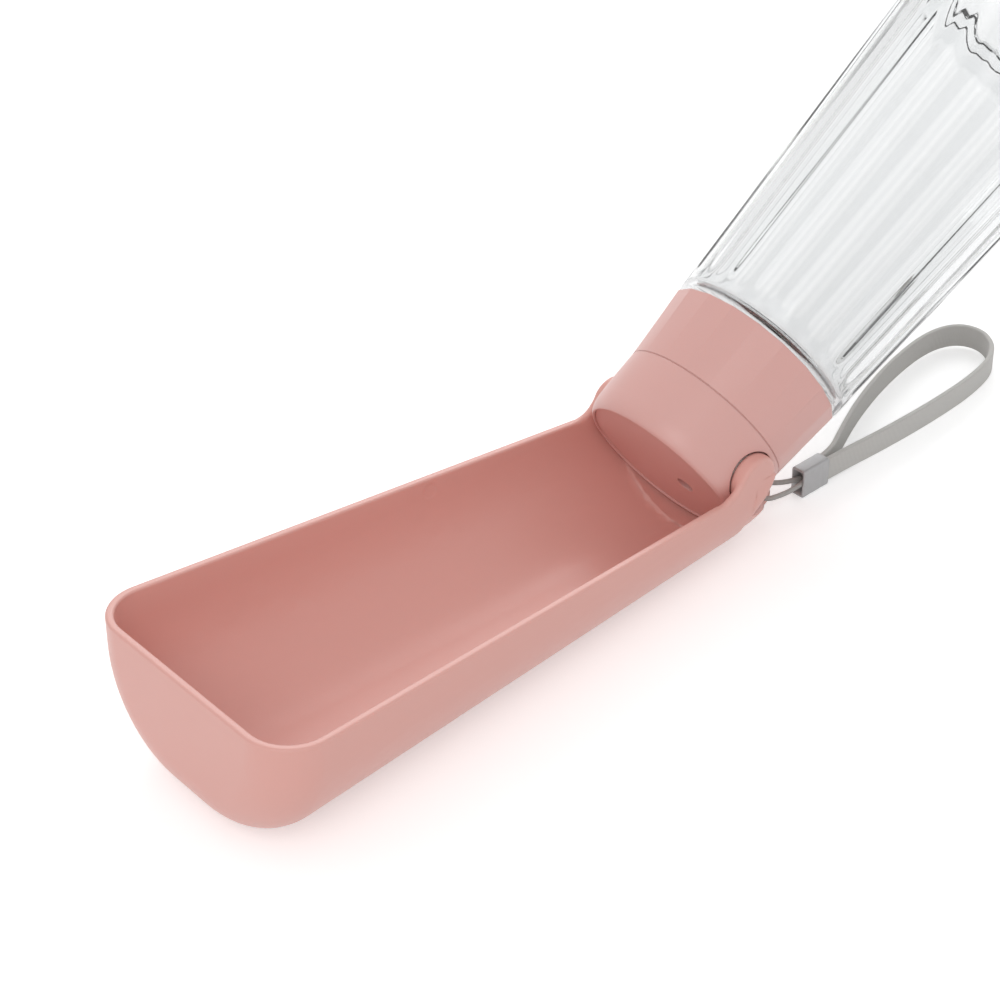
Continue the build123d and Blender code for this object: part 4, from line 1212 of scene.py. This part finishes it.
@dataclass
class Studio:
    """Pale floor, soft lights and the camera at the photograph's angle."""

    eye: Tuple[float, float, float] = (-0.3059, -0.3620, 0.3840)
    azimuth: float = -40.59
    elevation: float = 35.65
    roll: float = 1.636
    focal_pixels: float = 2317.0
    frame_pixels: float = 1000.0
    floor_half: float = 3.0
    floor_lift: float = 0.38
    sky_level: float = 0.70

    def camera(self) -> None:
        """Create the camera: right, up and back vectors from azimuth, elevation and roll."""
        azimuth, elevation, roll = np.radians([self.azimuth, self.elevation, self.roll])
        back = np.array([np.sin(azimuth) * np.cos(elevation), -np.cos(azimuth) * np.cos(elevation),
                         np.sin(elevation)])
        level = np.array([np.cos(azimuth), np.sin(azimuth), 0.0])
        upright = np.cross(back, level)
        right = np.cos(roll) * level - np.sin(roll) * upright
        up = np.cross(back, right)
        data = bpy.data.cameras.new("photo_camera")
        data.sensor_width = 36.0
        data.lens = self.focal_pixels / self.frame_pixels * data.sensor_width
        data.clip_start = 0.01
        data.clip_end = 20.0
        camera = bpy.data.objects.new("photo_camera", data)
        bpy.context.scene.collection.objects.link(camera)
        turn = Matrix([list(row) for row in np.stack([right, up, back], axis=1)])
        camera.matrix_world = Matrix.Translation(Vector(self.eye)) @ turn.to_4x4()
        bpy.context.scene.camera = camera

    def floor(self) -> None:
        """Pale floor, a little brighter where the camera sees it, which keeps the shadow."""
        half = self.floor_half
        corners = np.array([(-half, -half, 0.0), (half, -half, 0.0), (half, half, 0.0), (-half, half, 0.0)])
        mesh = bpy.data.meshes.new("studio_floor")
        mesh.from_pydata(corners.tolist(), [], [[0, 1, 2, 3]])
        floor = bpy.data.objects.new("studio_floor", mesh)
        bpy.context.scene.collection.objects.link(floor)
        material, tree, shader, coordinates = start_material("floor_paper")
        drift = tree.nodes.new("ShaderNodeGroup")
        drift.node_tree = GROUPS.tone_drift()
        drift.inputs["Tone"].default_value = (0.90, 0.90, 0.90, 1.0)
        drift.inputs["Second"].default_value = (0.88, 0.88, 0.88, 1.0)
        drift.inputs["Scale"].default_value = 4.0
        tree.links.new(coordinates.outputs["Object"], drift.inputs["Position"])
        tree.links.new(drift.outputs["Color"], shader.inputs["Base Color"])
        shader.inputs["Roughness"].default_value = 0.9
        shader.inputs["Specular IOR Level"].default_value = 0.1
        strength = tree.nodes.new("ShaderNodeMath")
        strength.operation = "MULTIPLY"
        strength.inputs[1].default_value = self.floor_lift
        tree.links.new(seen_rays(tree), strength.inputs[0])
        tree.links.new(strength.outputs[0], shader.inputs["Emission Strength"])
        shader.inputs["Emission Color"].default_value = (1.0, 1.0, 1.0, 1.0)
        mesh.materials.append(material)

    def world(self) -> None:
        """White backdrop for camera, glossy and transmission rays, softer for the light it gives."""
        scene = bpy.context.scene
        world = bpy.data.worlds.new("studio_world")
        scene.world = world
        world.use_nodes = True
        tree = world.node_tree
        tree.nodes.clear()
        output = tree.nodes.new("ShaderNodeOutputWorld")
        background = tree.nodes.new("ShaderNodeBackground")
        background.inputs["Color"].default_value = (1.0, 1.0, 1.0, 1.0)
        strength = tree.nodes.new("ShaderNodeMapRange")
        strength.inputs["To Min"].default_value = self.sky_level
        strength.inputs["To Max"].default_value = 1.0
        tree.links.new(seen_rays(tree), strength.inputs["Value"])
        tree.links.new(strength.outputs["Result"], background.inputs["Strength"])
        tree.links.new(background.outputs["Background"], output.inputs["Surface"])

    def lamp(self, name: str, place: Tuple[float, float, float], size: float, level: float) -> None:
        """Area lamp aimed at the hinge, whose light alone shows white at the given level.

        Args:
            name: the lamp's name.
            place: its middle, in metres.
            size: its side, in metres.
            level: share of white that it gives a white face turned to it.
        """
        target = Vector((0.03, 0.0, 0.03))
        data = bpy.data.lights.new(name, "AREA")
        data.shape = "SQUARE"
        data.size = size
        reach = (target - Vector(place)).length
        data.energy = level * float(np.pi) ** 2 * reach ** 2
        lamp = bpy.data.objects.new(name, data)
        bpy.context.scene.collection.objects.link(lamp)
        lamp.location = place
        lamp.rotation_euler = (target - Vector(place)).to_track_quat("-Z", "Y").to_euler()

    def build(self) -> None:
        """Set up the whole studio."""
        bpy.context.scene.view_settings.view_transform = "Standard"
        self.camera()
        self.floor()
        self.world()
        self.lamp("key_lamp", (-0.75, -0.65, 1.0), 0.7, 0.17)
        self.lamp("low_lamp", (-1.3, -0.3, 0.42), 0.5, 0.04)
        self.lamp("rim_lamp", (0.72, 0.80, 0.82), 0.7, 0.26)
        LOG.info("Studio: camera, floor, world and lamps")


def main() -> None:
    """Load the frame, dress each sub-assembly in order and set up the studio."""
    logging.basicConfig(level=logging.INFO, format="%(name)s %(message)s")
    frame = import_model()
    layout = Layout()
    for kind in (Trough, Head, TwistCap, Bottle, WristStrap):
        assembly = kind(frame, layout)
        assembly.build()
        assembly.report()
    Studio().build()
    bpy.context.view_layer.update()


if __name__ == "__main__":
    main()
